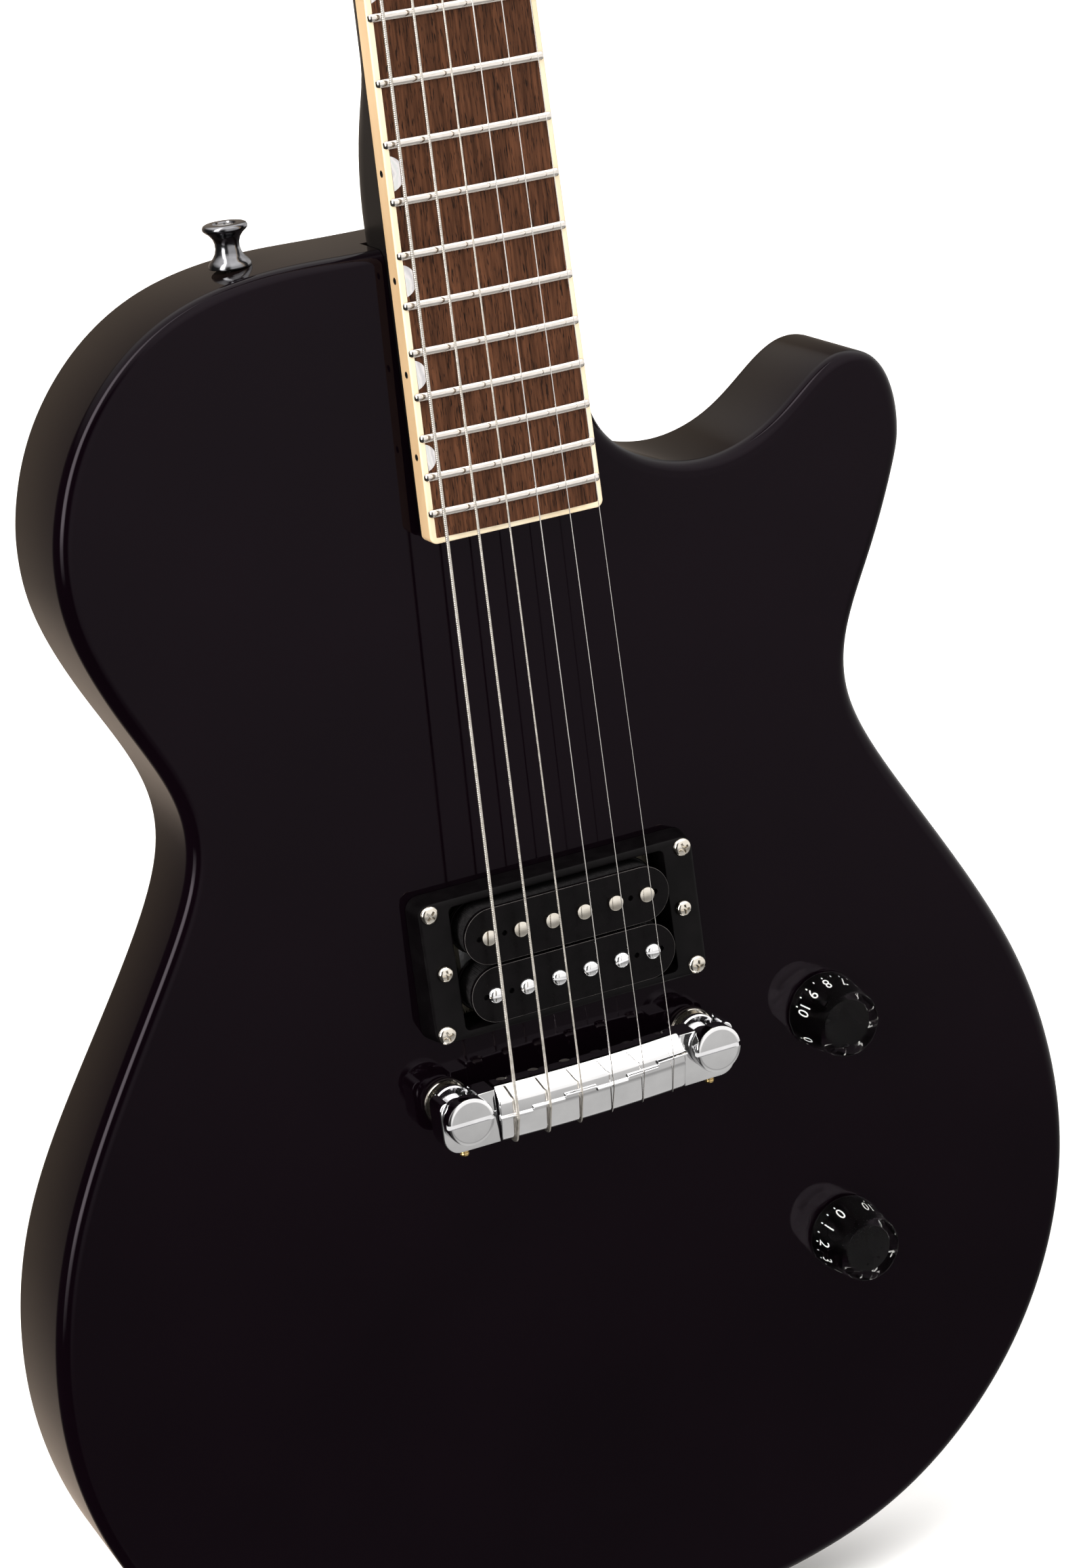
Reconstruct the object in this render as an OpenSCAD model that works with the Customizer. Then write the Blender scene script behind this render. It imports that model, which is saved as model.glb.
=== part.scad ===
// Electric guitar: a single-cutaway slab body, a bolt-on neck with a bound fingerboard, one humbucking
// pickup, a compensated wraparound bridge, two control knobs and a three-a-side headstock.
// The guitar stands upright. +Z runs up the neck, the playing face looks along -Y, +X is the treble side.
// The origin is the seat of the end strap button: on the centre line, at the body's bottom edge and at
// the middle of its thickness.

/* [Body] */
// Thickness of the body slab
body_t = 42; // [39:0.5:45]
// Radius of the rounded front edge
edge_front = 4.5; // [3:0.5:5]
// Radius of the rounded back edge
edge_back = 4; // [3:0.5:5]
// Depth of the comfort scoop on the back, at the bass waist
scoop_depth = 10; // [0:0.5:12]

/* [Scale and neck] */
// Scale length, from the nut to the uncompensated bridge line
scale_len = 628.65; // [624:0.05:632]
// Number of frets
fret_count = 22; // [20:1:22]
// Tilt of the neck against the body face, in degrees
neck_angle = 1.25; // [1:0.05:1.5]
// Height of the fingerboard's glue face above the body face, measured at the nut
board_seat = -5.96; // [-7:0.01:-5]
// Width of the fingerboard at the nut
nut_width = 42.8; // [42:0.1:43.5]
// Growth of the fingerboard's width per millimetre of length
board_flare = 0.02545; // [0.024:0.0001:0.027]
// Thickness of the fingerboard on its centre line
board_t = 7.5; // [7:0.1:8]
// Crown radius of the fingerboard
crown_r = 305; // [254:1:406]
// Thickness of the side binding
binding_w = 1.8; // [1.5:0.1:2.2]
// Depth of the neck's heel below the glue face
heel_depth = 19.9; // [19:0.1:21]

/* [Headstock] */
// Backward tilt of the headstock, in degrees
head_angle = 12; // [10:0.5:14]
// Thickness of the headstock
head_t = 14; // [13:0.5:15]
// Distance along the headstock from the nut to the first pair of posts
post_first = 38; // [36:1:42]
// Distance between pairs of posts
post_pitch = 39; // [37:1:40]

/* [Bridge] */
// Height of the bridge studs above the bottom of the body
stud_z = 200; // [198:1:202]
// Distance between the two studs
stud_gap = 82.4; // [82:0.1:83]
// String spread at the bridge, from the first string to the sixth
bridge_spread = 52.4; // [51:0.1:53]
// String spread at the nut
nut_spread = 35.4; // [35:0.1:36]
// Height of the outer strings' centres above the body face, at the bridge
string_h = 18.7; // [18:0.1:19.5]

/* [Pickup] */
// Height of the pickup's centre above the bottom of the body
pickup_z = 243.3; // [242:0.1:245]
// Width of the pickup ring
ring_w = 92; // [90:0.5:93]
// Length of the pickup ring, along the strings
ring_l = 45.5; // [44.5:0.5:46]
// Distance between neighbouring poles
pole_pitch = 10.35; // [10:0.05:10.5]
// Distance between the two rows of poles
row_gap = 18.3; // [18:0.1:18.6]

/* [Controls] */
// Distance of the knobs from the centre line
knob_x = 87.3; // [86:0.1:88]
// Height of the volume knob above the bottom of the body
volume_z = 194.2; // [192:0.1:196]
// Height of the tone knob above the bottom of the body
tone_z = 117.2; // [115:0.1:119]
// Height of a knob
knob_h = 16; // [14:0.5:17]

/* [Hidden] */

$fn = 48;
eps = 0.01;
rod_mid = -6.6;
nut_z = stud_z + scale_len + 3.6;
nut_len = 5;
run_fit = 0.05;
part_gap = 0.3;

// ---- outline of the body, seen from the front: x to the treble side, y up the body ----
lower_side = [[46, 2], [88, 10.5], [121.5, 29.5], [147.5, 57], [164.3, 90], [171.3, 125], [169, 160],
    [159, 195], [141, 230], [121.5, 263], [108.5, 290], [109.5, 313], [121, 337], [130.5, 361]];
bass_shoulder = [[-132.8, 380], [-130.6, 397], [-122.5, 417.5], [-106, 437], [-84, 449.5], [-58, 454],
    [-35, 454]];
neck_tongue = [[-10, 454], [14, 454], [26, 450], [30, 438], [30.5, 421], [31, 404]];
treble_horn = [[36, 389], [49, 379], [68, 374.7], [88, 380], [104, 392], [116, 397.4], [127, 394],
    [132.3, 383], [132.8, 371]];
outline_pts = concat([[0, 0]], [for (p = lower_side) [-p[0], p[1]]], bass_shoulder, neck_tongue,
    treble_horn, [for (i = [len(lower_side) - 1:-1:0]) lower_side[i]]);

// ---- headstock: half of a generic flared outline, mirrored ----
head_half = [[22, 2], [23, 12], [28, 25], [35, 40], [38.5, 60], [39.5, 90], [41, 120], [42.5, 145],
    [38, 158], [24, 161], [10, 166]];
head_pts = concat([for (p = head_half) p], [[0, 167]],
    [for (i = [len(head_half) - 1:-1:0]) [-head_half[i][0], head_half[i][1]]], [[-8, 0], [8, 0]]);

// ---- closed cubic B-spline that passes close to its points ----
function ring_at(v, i) = v[(i + len(v)) % len(v)];
function controls(v) = [for (i = [0:len(v) - 1]) (8 * v[i] - ring_at(v, i - 1) - ring_at(v, i + 1)) / 6];
function spline_at(c, i, t) = (pow(1 - t, 3) * ring_at(c, i - 1) + (3 * t * t * t - 6 * t * t + 4) * c[i]
    + (-3 * t * t * t + 3 * t * t + 3 * t + 1) * ring_at(c, i + 1) + t * t * t * ring_at(c, i + 2)) / 6;
function smooth_loop(v, steps) = let (c = controls(v))
    [for (i = [0:len(c) - 1]) for (k = [0:steps - 1]) spline_at(c, i, k / steps)];
function unit(v) = v / norm(v);
function inward(loop, i) = let (t = unit(ring_at(loop, i + 1) - ring_at(loop, i - 1))) [t[1], -t[0]];

// ---- body slab: rings of points from the front face, round the edge and across the scooped back ----
body_loop = smooth_loop(outline_pts, 3);
function bump(u) = abs(u) < 1 ? 0.5 + 0.5 * cos(180 * u) : 0;
function ease(u) = let (w = min(1, max(0, u))) w * w * (3 - 2 * w);
function scoop(p, inner) = scoop_depth * bump((p[1] - 262) / 112) * ease((-p[0] - 38) / 62)
    * (1 - ease(inner / 0.6));
function spine_pt(p) = [0, min(320, max(150, p[1]))];
function edge_ring(r, a) = [for (i = [0:len(body_loop) - 1])
    body_loop[i] + inward(body_loop, i) * r * (1 - cos(a))];
function inner_ring(f) = [for (p = edge_ring(edge_back, 90)) p + f * (spine_pt(p) - p)];
front_rings = [for (a = [90, 60, 30, 0]) [for (p = edge_ring(edge_front, a))
    [p[0], p[1], -edge_front * (1 - sin(a))]]];
back_rings = [for (a = [0, 30, 60, 90]) [for (p = edge_ring(edge_back, a))
    [p[0], p[1], -body_t + scoop(p, 0) + edge_back * (1 - sin(a))]]];
inner_rings = [for (f = [0.08, 0.18, 0.3, 0.45, 0.65]) [for (p = inner_ring(f))
    [p[0], p[1], -body_t + scoop(p, f)]]];
body_rings = concat(front_rings, back_rings, inner_rings);

// ---- strings, from the sixth (bass) to the first (treble) ----
string_d = [1.17, 0.91, 0.66, 0.43, 0.33, 0.25];
saddle_back = [2.6, 1.6, 0.5, 1.4, 0.4, -0.9];
string_x = [for (i = [0:5]) (i - 2.5) / 5];
bridge_crown_r = 330;
function crown_drop(x, r) = r - sqrt(r * r - x * x);
bar_centre_h = string_h + crown_drop(bridge_spread / 2, bridge_crown_r) - bridge_crown_r;
// Points in the frame of the face: x, y up the body, z out of the face
function from_neck(p) = [p[0], nut_z + p[1] * cos(neck_angle) + p[2] * sin(neck_angle),
    board_seat - p[1] * sin(neck_angle) + p[2] * cos(neck_angle)];
function from_head(p) = from_neck([p[0], nut_len + p[1] * cos(head_angle) + p[2] * sin(head_angle),
    -p[1] * sin(head_angle) + p[2] * cos(head_angle)]);
function saddle_pt(i) = let (x = string_x[i] * bridge_spread)
    [x, stud_z - saddle_back[i], bar_centre_h + sqrt(pow(bridge_crown_r, 2) - x * x)];
function nut_pt(i) = let (x = string_x[i] * nut_spread)
    from_neck([x, 0, board_t - crown_drop(x, crown_r) + fret_h + 0.55 + string_d[i] / 2]);

// ---- fingerboard ----
fret_h = 1.1;
fret_w = 2.6;
function fret_y(n) = -scale_len * (1 - pow(2, -n / 12));
board_len = 461.2;
function half_width(y) = (nut_width - board_flare * y) / 2;
inlay_frets = [1, 3, 5, 7, 9, 12, 15, 17, 19, 21];

// ---- tuners: three posts up each side, the sixth string's post lowest on the bass side ----
post_r = 3;
post_side = [-1, -1, -1, 1, 1, 1];
post_row = [0, 1, 2, 2, 1, 0];
function post_x(i) = post_side[i] * (20.5 + 2.2 * post_row[i]);
function post_y(i) = post_first + post_pitch * post_row[i];
wrap_h = 8;
worm_y = 8;
gear_r = 5.1;
worm_r = 2.4;
shaft_r = 2;
tuner_mid = -4.6;
key_out = 20;

// ---- pickup ----
bobbin_w = 67;
bobbin_l = 17.4;
core_half = 29;
coil_bottom = 0.4;
bobbin_top = 12.6;
tape_h = bobbin_top - coil_bottom - 2.8;
height_screw_x = 39.3;
base_h = -3.5;

// ---- jack, on the side of the lower treble bout ----
jack_pos = [147.9, 56.4];
jack_tilt = -35;
jack_bore_r = 3.2;

// ---- control cavity, reached from the back ----
cavity_r = 27;
cover_r = 33;
cover_t = 2;

// ================= frames =================
module on_face() {
    translate([0, -body_t / 2, 0]) rotate([90, 0, 0]) children();
}

module on_neck() {
    on_face() translate([0, nut_z, board_seat]) rotate([-neck_angle, 0, 0]) children();
}

module on_head() {
    on_neck() translate([0, nut_len, 0]) rotate([-head_angle, 0, 0]) children();
}

// The side of the lower treble bout: z points out of the body's edge, at half its thickness
module on_jack() {
    on_face() translate([jack_pos[0], jack_pos[1], -body_t / 2]) rotate([0, 90, jack_tilt]) children();
}

// ================= small shapes =================
module rod(p, q, r) {
    d = q - p;
    translate(p) rotate([0, acos(d[2] / norm(d)), atan2(d[1], d[0])]) cylinder(h = norm(d), r = r);
}

// A round-bottomed slot along p to q, open upwards
module open_slot(p, q, r) {
    d = q - p;
    translate(p) rotate([0, acos(d[2] / norm(d)), atan2(d[1], d[0])]) {
        cylinder(h = norm(d), r = r);
        translate([-4, eps - r, 0]) cube([4, 2 * (r - eps), norm(d)]);
    }
}

// A bar with round ends between two knob positions
module stadium(r, h) {
    for (y = [tone_z, volume_z]) translate([knob_x, y, 0]) cylinder(h = h, r = r);
    translate([knob_x - r, tone_z, 0]) cube([2 * r, volume_z - tone_z, h]);
}

// A countersunk wood screw: head at z = 0, shank downwards
module wood_screw(head_r, shank_r, length) {
    difference() {
        union() {
            translate([0, 0, -head_r * 0.6]) cylinder(h = head_r * 0.6, r1 = shank_r, r2 = head_r);
            translate([0, 0, -length]) cylinder(h = length - head_r * 0.6 + eps, r = shank_r);
        }
        for (a = [0, 90]) rotate([0, 0, a]) translate([-head_r * 0.6, -0.3, -0.8])
            cube([head_r * 1.2, 0.6, 1]);
    }
}

module rounded_plate(w, l, r, h) {
    for (x = [-1, 1], y = [-1, 1]) translate([x * (w / 2 - r), y * (l / 2 - r), 0]) cylinder(h = h, r = r);
    translate([-w / 2, -l / 2 + r, 0]) cube([w, l - 2 * r, h]);
    translate([-w / 2 + r, -l / 2, 0]) cube([w - 2 * r, l, h]);
}

// ================= wood =================
module body_slab() {
    n = len(body_loop);
    rings = len(body_rings);
    pts = [for (r = body_rings) for (p = r) p];
    sides = [for (k = [0:rings - 2]) for (i = [0:n - 1]) for (h = [0, 1]) let (j = (i + 1) % n)
        h == 0 ? [k * n + i, k * n + j, (k + 1) * n + j] : [k * n + i, (k + 1) * n + j, (k + 1) * n + i]];
    front = [[for (i = [n - 1:-1:0]) i]];
    back = [[for (i = [0:n - 1]) (rings - 1) * n + i]];
    polyhedron(pts, concat(front, sides, back));
}

// The neck pocket, cut to the tilt of the neck
module pocket() {
    on_neck() translate([-26.2, -461.5, -heel_depth - eps]) cube([52.4, 120, heel_depth + 6]);
}

module pickup_cavity() {
    on_face() translate([0, pickup_z, -19]) {
        translate([-36, -19.5, 0]) cube([72, 39, 22]);
        translate([-43.5, -11, 0]) cube([87, 22, 22]);
    }
}

module control_cavity() {
    on_face() translate([0, 0, -body_t - 1]) stadium(cavity_r, body_t - 6);
    on_face() translate([0, 0, -body_t - 1]) stadium(cover_r + 0.3, cover_t + 1.2);
}

module jack_cavity() {
    on_jack() translate([0, 0, -62]) cylinder(h = 70, r = 10.5);
    on_jack() translate([0, 0, -1.8]) cylinder(h = 12, r = 15.3);
}

module body() {
    color("#1a1719") difference() {
        on_face() body_slab();
        pocket();
        pickup_cavity();
        control_cavity();
        jack_cavity();
        on_face() {
            for (s = [-1, 1]) translate([s * stud_gap / 2, stud_z, -24]) cylinder(h = 30, r = 5.75);
            for (y = [tone_z, volume_z]) translate([knob_x, y, -12]) cylinder(h = 20, r = 4.8);
            rod([36, pickup_z - 8, -13], [knob_x - 14, volume_z + 12, -15], 4);
            for (p = ring_screw_at) translate([p[0], p[1], -14]) cylinder(h = 18, r = 1.2);
            translate([0, 0, -body_t / 2]) for (p = strap_at) {
                rod(p, p + strap_in(p) * 28, 1.6);
                rod(p, p - strap_in(p) * 3, 6.3);
            }
        }
        for (p = neck_screw_at) plate_frame() translate([p[0], p[1], -1]) cylinder(h = 31, r = 2.6);
        for (p = cover_screw_at) on_face() translate([p[0], p[1], -body_t]) cylinder(h = 14, r = 1.2);
        for (a = [90, 270]) on_jack() rotate([0, 0, a]) translate([12, 0, -13]) cylinder(h = 20, r = 1);
    }
}

ring_screw_at = [for (x = [-41.5, 41.5], y = [-18.7, 18.7]) [x, pickup_z + y]];
neck_screw_at = [for (x = [-18, 18], y = [-25, 25]) [x, y]];
cover_screw_at = [[knob_x, volume_z + 29.8], [knob_x, tone_z - 29.8], [knob_x - 29.8, volume_z],
    [knob_x + 29.8, tone_z]];
// Strap buttons: at the bottom on the centre line and on top of the bass shoulder
strap_at = [[0, 0, 0], [-64, 454, 0]];
function strap_in(p) = p[1] > 100 ? [0, -1, 0] : [0, 1, 0];

module half_round(width, depth, length) {
    intersection() {
        rotate([90, 0, 0]) scale([1, depth / (width / 2), 1])
            cylinder(h = length, r = width / 2, center = true, $fn = 32);
        translate([-width, -length, -2 * width]) cube([2 * width, 2 * length, 2 * width]);
    }
}

module neck_wood() {
    hull() {
        translate([0, -0.5, 0]) half_round(nut_width, 14, 1);
        translate([0, -325, 0]) half_round(2 * half_width(-325), 15.5, 1);
    }
    hull() {
        translate([0, -324, 0]) half_round(2 * half_width(-324), 15.5, 1);
        translate([-26, -374, -heel_depth + 6]) cube([52, 2, heel_depth - 6]);
        translate([-20, -374, -heel_depth]) cube([40, 2, 1]);
    }
    translate([-26, -461, -heel_depth]) cube([52, 88, heel_depth]);
    hull() {
        translate([0, -1, 0]) half_round(nut_width, 14, 1);
        translate([0, nut_len, 0]) rotate([-head_angle, 0, 0]) translate([-20.5, 4, 0.3 - head_t])
            cube([41, 12, head_t - 0.6]);
        translate([-21, 0, -4]) cube([42, nut_len, 4]);
    }
    translate([0, nut_len, 0]) rotate([-head_angle, 0, 0]) translate([0, 0, -head_t])
        linear_extrude(head_t) polygon(smooth_loop(head_pts, 4));
}

module neck() {
    color("#17151a") difference() {
        on_neck() neck_wood();
        on_neck() translate([-3.2, -448, -9.6]) cube([6.4, 448, 12]);
        on_neck() translate([0, -3, rod_mid]) rotate([-90, 0, 0]) cylinder(h = 36, r = 4.6);
        on_neck() translate([-4.6, nut_len + 1, rod_mid]) cube([9.2, 27, 10]);
        for (i = [0:5]) on_head() translate([post_x(i), post_y(i), -head_t - 1])
            cylinder(h = head_t + 3, r = 4.6);
        for (p = neck_screw_at) plate_frame() translate([p[0], p[1], 20]) cylinder(h = 20, r = 1.6);
        for (i = [0:5]) on_head() translate([post_x(i), post_y(i) - 12, -head_t - 1])
            cylinder(h = 8, r = 0.9);
        for (p = cover_at) on_head() translate([p[0], p[1], -7]) cylinder(h = 9, r = 0.9);
    }
}

// ================= fingerboard =================
// A flat blank of the board, inset from the true outline on both sides and at the body end
module board_blank(inset, h) {
    a = half_width(0) - inset;
    b = half_width(-board_len) - inset;
    linear_extrude(h) polygon([[-a, 0], [a, 0], [b, -board_len + inset], [-b, -board_len + inset]]);
}

module crown(extra) {
    translate([0, 2, board_t - crown_r]) rotate([90, 0, 0])
        cylinder(h = board_len + 4, r = crown_r + extra, $fn = 720);
}

// The fret's crown section swept across the board, at fret number n, from -half to +half in x
module fret_crown(n, half) {
    a = asin(half / crown_r);
    round_r = (pow(fret_w / 2, 2) + fret_h * fret_h) / (2 * fret_h);
    translate([0, fret_y(n), board_t - crown_r]) rotate([90, 0, 0]) rotate([0, 0, 90 - a])
        rotate_extrude(angle = 2 * a, $fn = 720) intersection() {
            translate([crown_r + fret_h - round_r, 0]) circle(r = round_r);
            translate([crown_r, -5]) square([5, 10]);
        }
}

// The tang below the crown, shorter than the board is wide, so that it stops inside the binding
module fret_tang(n, w) {
    half = half_width(fret_y(n)) - binding_w - 0.2;
    translate([-half, fret_y(n) - w / 2, board_t - 2.9]) cube([2 * half, w, 3.4]);
}

module inlay_shape(n, h) {
    y = (fret_y(n) + fret_y(n - 1)) / 2;
    chord = 0.42 * (fret_y(n - 1) - fret_y(n)) + 3;
    x = -half_width(y) + binding_w + board_flare * chord / 4 + 0.02;
    depth = 0.36 * chord;
    r = (chord * chord / 4 + depth * depth) / (2 * depth);
    a = asin(chord / 2 / r);
    translate([x + depth - r, y, 0]) linear_extrude(h)
        polygon([for (k = [-8:8]) r * [cos(a * k / 8), sin(a * k / 8)]]);
}

module fingerboard() {
    color("#3a2620") on_neck() difference() {
        intersection() {
            board_blank(binding_w, board_t);
            crown(0);
        }
        for (n = inlay_frets) translate([0, 0, board_t - 2.2]) inlay_shape(n, 4);
        for (n = [1:fret_count]) fret_tang(n, 0.6);
    }
}

module fingerboard_binding() {
    color("#e6dcb8") on_neck() difference() {
        intersection() {
            board_blank(0, board_t);
            crown(0);
        }
        translate([0, 0, -1]) linear_extrude(board_t + 2) offset_blank();
        for (n = inlay_frets) side_dot(n, 1.4);
    }
}

// The outline inside the binding, open at the nut
module offset_blank() {
    a = half_width(0) - binding_w;
    b = half_width(-board_len) - binding_w;
    polygon([[-a, 1], [a, 1], [a, 0], [b, -board_len + binding_w], [-b, -board_len + binding_w], [-a, 0]]);
}

module frets() {
    color("#d8d6d2") on_neck() for (n = [1:fret_count]) {
        fret_crown(n, half_width(fret_y(n)) - 0.3);
        intersection() {
            fret_tang(n, 0.6);
            crown(0.5);
        }
    }
}

module inlays() {
    color("#e9e4e6") on_neck() for (n = inlay_frets) {
        edge = half_width(fret_y(n)) - binding_w;
        translate([0, 0, board_t - 2.2]) inlay_shape(n, 2.2 - crown_drop(edge, crown_r));
    }
}

module side_dot(n, deep) {
    y = (fret_y(n) + fret_y(n - 1)) / 2;
    for (s = n == 12 ? [-3, 3] : [0]) translate([-half_width(y) - 0.5, y + s, 3.4]) rotate([0, 90, 0])
        cylinder(h = deep + 0.5, r = 1);
}

module side_dots() {
    color("#141214") on_neck() intersection() {
        union() for (n = inlay_frets) side_dot(n, 1.4);
        board_blank(0.02, board_t);
    }
}

module nut() {
    color("#efe9dc") difference() {
        on_neck() intersection() {
            translate([-nut_width / 2, 0, 0]) cube([nut_width, nut_len - 0.1, 12]);
            translate([0, 10, board_t - crown_r]) rotate([90, 0, 0])
                cylinder(h = 20, r = crown_r + 2.2, $fn = 720);
        }
        on_face() for (i = [0:5]) let (along = unit(post_end(i) - nut_pt(i)))
            open_slot(nut_pt(i) - along * 1.5, nut_pt(i) + along * 8, string_d[i] / 2 + 0.06);
    }
}

// ================= truss rod =================
// Screws of the cover: two beside the adjustment channel and one at the tip
cover_at = [[-6.8, 8.5], [6.8, 8.5], [0, 44]];
cover_top = 2.05;
cover_head_r = 2.2;

module truss_rod() {
    color("#8a8d90") {
        on_neck() translate([-3, -446, -3.2]) cube([6, 444, 3.1]);
        on_neck() translate([-3, -446, -9.4]) cube([6, 8, 9.3]);
        on_neck() translate([0, -446, rod_mid]) rotate([-90, 0, 0]) cylinder(h = 454, r = 2.4);
        on_neck() translate([-3, -9, -9.4]) cube([6, 6, 9.3]);
    }
}

module truss_rod_nut() {
    color("#2c2c2e") on_neck() translate([0, 1, rod_mid]) rotate([-90, 0, 0]) difference() {
        cylinder(h = 15, r = 3.9);
        translate([0, 0, -1]) cylinder(h = 9, r = 2.4 + run_fit);
        translate([0, 0, 9]) cylinder(h = 7, r = 2.3, $fn = 6);
    }
}

module truss_rod_cover() {
    color("#131114") on_head() difference() {
        translate([0, 0, 0.05]) linear_extrude(2) polygon(smooth_loop([[-7, 3], [7, 3], [10, 9], [9, 20],
            [6, 34], [5, 46], [0, 50], [-5, 46], [-6, 34], [-9, 20], [-10, 9]], 4));
        for (p = cover_at) translate([p[0], p[1], cover_top]) {
            translate([0, 0, -4]) cylinder(h = 5, r = 0.95);
            translate([0, 0, -0.6 * cover_head_r]) cylinder(h = 0.6 * cover_head_r + eps, r1 = 0.95,
                r2 = cover_head_r + 0.05);
        }
    }
}

module headstock_screws() {
    color("#b9b9bd") {
        for (p = cover_at) on_head() translate([p[0], p[1], cover_top]) wood_screw(cover_head_r, 0.85, 8);
        for (i = [0:5]) on_head() translate([post_x(i), post_y(i) - 12, -head_t - 2]) rotate([180, 0, 0])
            wood_screw(2, 0.85, 8);
    }
}

// ================= tuners =================
// The frame of tuner i: origin where its post leaves the back of the headstock, +z to the front,
// +x to the outside of the headstock
module at_tuner(i) {
    on_head() translate([post_x(i), post_y(i), -head_t]) mirror([post_side[i] < 0 ? 1 : 0, 0, 0]) children();
}

module tuner_housing() {
    difference() {
        union() {
            translate([-8, -7, -9.2]) cube([17, 18, 9.2]);
            translate([-4, -15, -2]) cube([8, 9, 2]);
            translate([8, worm_y, tuner_mid]) rotate([0, 90, 0]) cylinder(h = 4, r = 4);
        }
        translate([0, 0, tuner_mid - 2.6]) cylinder(h = 5.2, r = gear_r + 0.5);
        translate([-5.5, worm_y, tuner_mid]) rotate([0, 90, 0]) cylinder(h = 11, r = worm_r + 0.35);
        translate([5, worm_y, tuner_mid]) rotate([0, 90, 0]) cylinder(h = 10, r = shaft_r + run_fit);
        translate([0, 0, -4]) cylinder(h = 6, r = post_r + run_fit);
        translate([0, -12, -5]) cylinder(h = 8, r = 0.95);
        translate([0, -12, -2 - eps]) cylinder(h = 1.2, r1 = 2, r2 = 0.95);
    }
}

module tuner_housings() {
    color("#1b1a1c") for (i = [0:5]) at_tuner(i) tuner_housing();
}

module tuner_key(i) {
    color("#1f1e20") at_tuner(i) translate([0, worm_y, tuner_mid]) rotate([0, 90, 0]) {
        translate([0, 0, -4.5]) cylinder(h = 9, r = worm_r);
        translate([0, 0, 4]) cylinder(h = key_out - 4, r = shaft_r);
        translate([0, 0, key_out - 3.5]) cylinder(h = 4, r = 3.2);
        translate([0, 0, key_out]) intersection() {
            translate([-9, -3.6, 0]) cube([18, 7.2, 17]);
            translate([0, 0, 8.6]) rotate([90, 0, 0]) cylinder(h = 10, r = 8.6, center = true);
        }
    }
}

module tuner_post(i) {
    color("#232224") at_tuner(i) difference() {
        union() {
            translate([0, 0, tuner_mid - 2]) cylinder(h = 4, r = gear_r);
            translate([0, 0, tuner_mid]) cylinder(h = head_t - tuner_mid + 15, r = post_r);
        }
        translate([0, 0, head_t + 11]) rotate([90, 0, 0]) cylinder(h = 10, r = 0.9, center = true);
    }
}

module tuner_bushings() {
    color("#1f1e20") for (i = [0:5]) on_head() translate([post_x(i), post_y(i), 0]) difference() {
        union() {
            translate([0, 0, -head_t + 2]) cylinder(h = head_t - 1, r = 4.6);
            translate([0, 0, 0]) cylinder(h = 1, r = 7);
            translate([0, 0, 0.9]) cylinder(h = 2.6, r = 5.6, $fn = 6);
        }
        translate([0, 0, -head_t]) cylinder(h = head_t + 5, r = post_r + run_fit);
    }
}

// ================= strings =================
// Where a string meets the winding on its post: the inner side of the post, on the face of the headstock
wrap_gap = post_r + part_gap;
function post_end(i) = let (r = wrap_gap + string_d[i] / 2)
    from_head([post_x(i) - post_side[i] * r, post_y(i), wrap_h]);

module string(i) {
    d = string_d[i];
    s = saddle_pt(i);
    on_face() {
        rod(s, nut_pt(i) + unit(nut_pt(i) - s) * 0.3, d / 2);
        rod(nut_pt(i), post_end(i), d / 2 - 0.02);
        rod(s + [0, 0.3, 0], [s[0], stud_z - 11.4, s[2] - 1.6 + d / 2], d / 2 - 0.02);
        translate([s[0], stud_z + 5.8, 9]) rotate([90, 0, 0]) cylinder(h = 17.6, r = d / 2);
        translate([s[0], stud_z + 5.8, 9]) rotate([90, 0, 0]) cylinder(h = 3, r = 1.9);
    }
    turns = d > 0.6 ? 2 : 3;
    on_head() translate([post_x(i), post_y(i), wrap_h - (turns - 0.5) * d]) difference() {
        cylinder(h = turns * d, r = wrap_gap + d);
        translate([0, 0, -1]) cylinder(h = turns * d + 2, r = wrap_gap);
    }
}

module wound_strings() {
    color("#c9c4ba") for (i = [0:2]) string(i);
}

module plain_strings() {
    color("#d9d8d6") for (i = [3:5]) string(i);
}

// ================= bridge =================
// Section of the bar, as distances along the strings from the stud line and below the string plane
bar_section = [[-11.4, -4.6], [-11.4, -9.6], [-9.6, -11.7], [4.8, -11.7], [6.6, -10.2], [6.6, -4.9],
    [2.4, -1.3], [-2.4, -1.3], [-10.2, -3.2]];
bar_half = 31;

module bar_sweep(half, section) {
    a = asin(half / bridge_crown_r);
    translate([0, stud_z, bar_centre_h]) rotate([-90, 0, 0]) rotate([0, 0, -90 - a])
        rotate_extrude(angle = 2 * a, $fn = 720)
            polygon([for (p = section) [bridge_crown_r + p[1], p[0]]]);
}

module bridge_bar() {
    color("#d9dadd") difference() {
        on_face() {
            bar_sweep(bar_half, bar_section);
            for (i = [0:5]) ridge(i);
            for (s = [-1, 1]) ear(s);
        }
        on_face() for (i = [0:5]) translate([string_x[i] * bridge_spread, stud_z + 7, 9]) rotate([90, 0, 0]) {
            cylinder(h = 20, r = string_d[i] / 2 + 0.05);
            cylinder(h = 5, r = 2);
        }
    }
}

// One step of the compensated ridge: a short crest under string i
module ridge(i) {
    a = asin(5.3 / bridge_crown_r);
    mid = asin(string_x[i] * bridge_spread / bridge_crown_r);
    y = -saddle_back[i];
    under = -string_d[i] / 2;
    translate([0, stud_z, bar_centre_h]) rotate([-90, 0, 0]) rotate([0, 0, -90 + mid - a])
        rotate_extrude(angle = 2 * a, $fn = 720)
            polygon([for (p = [[-2.4, -0.65], [under, -0.65], [under, 0.65], [-2.4, 0.65]])
                [bridge_crown_r + p[0], y + p[1]]]);
}

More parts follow.
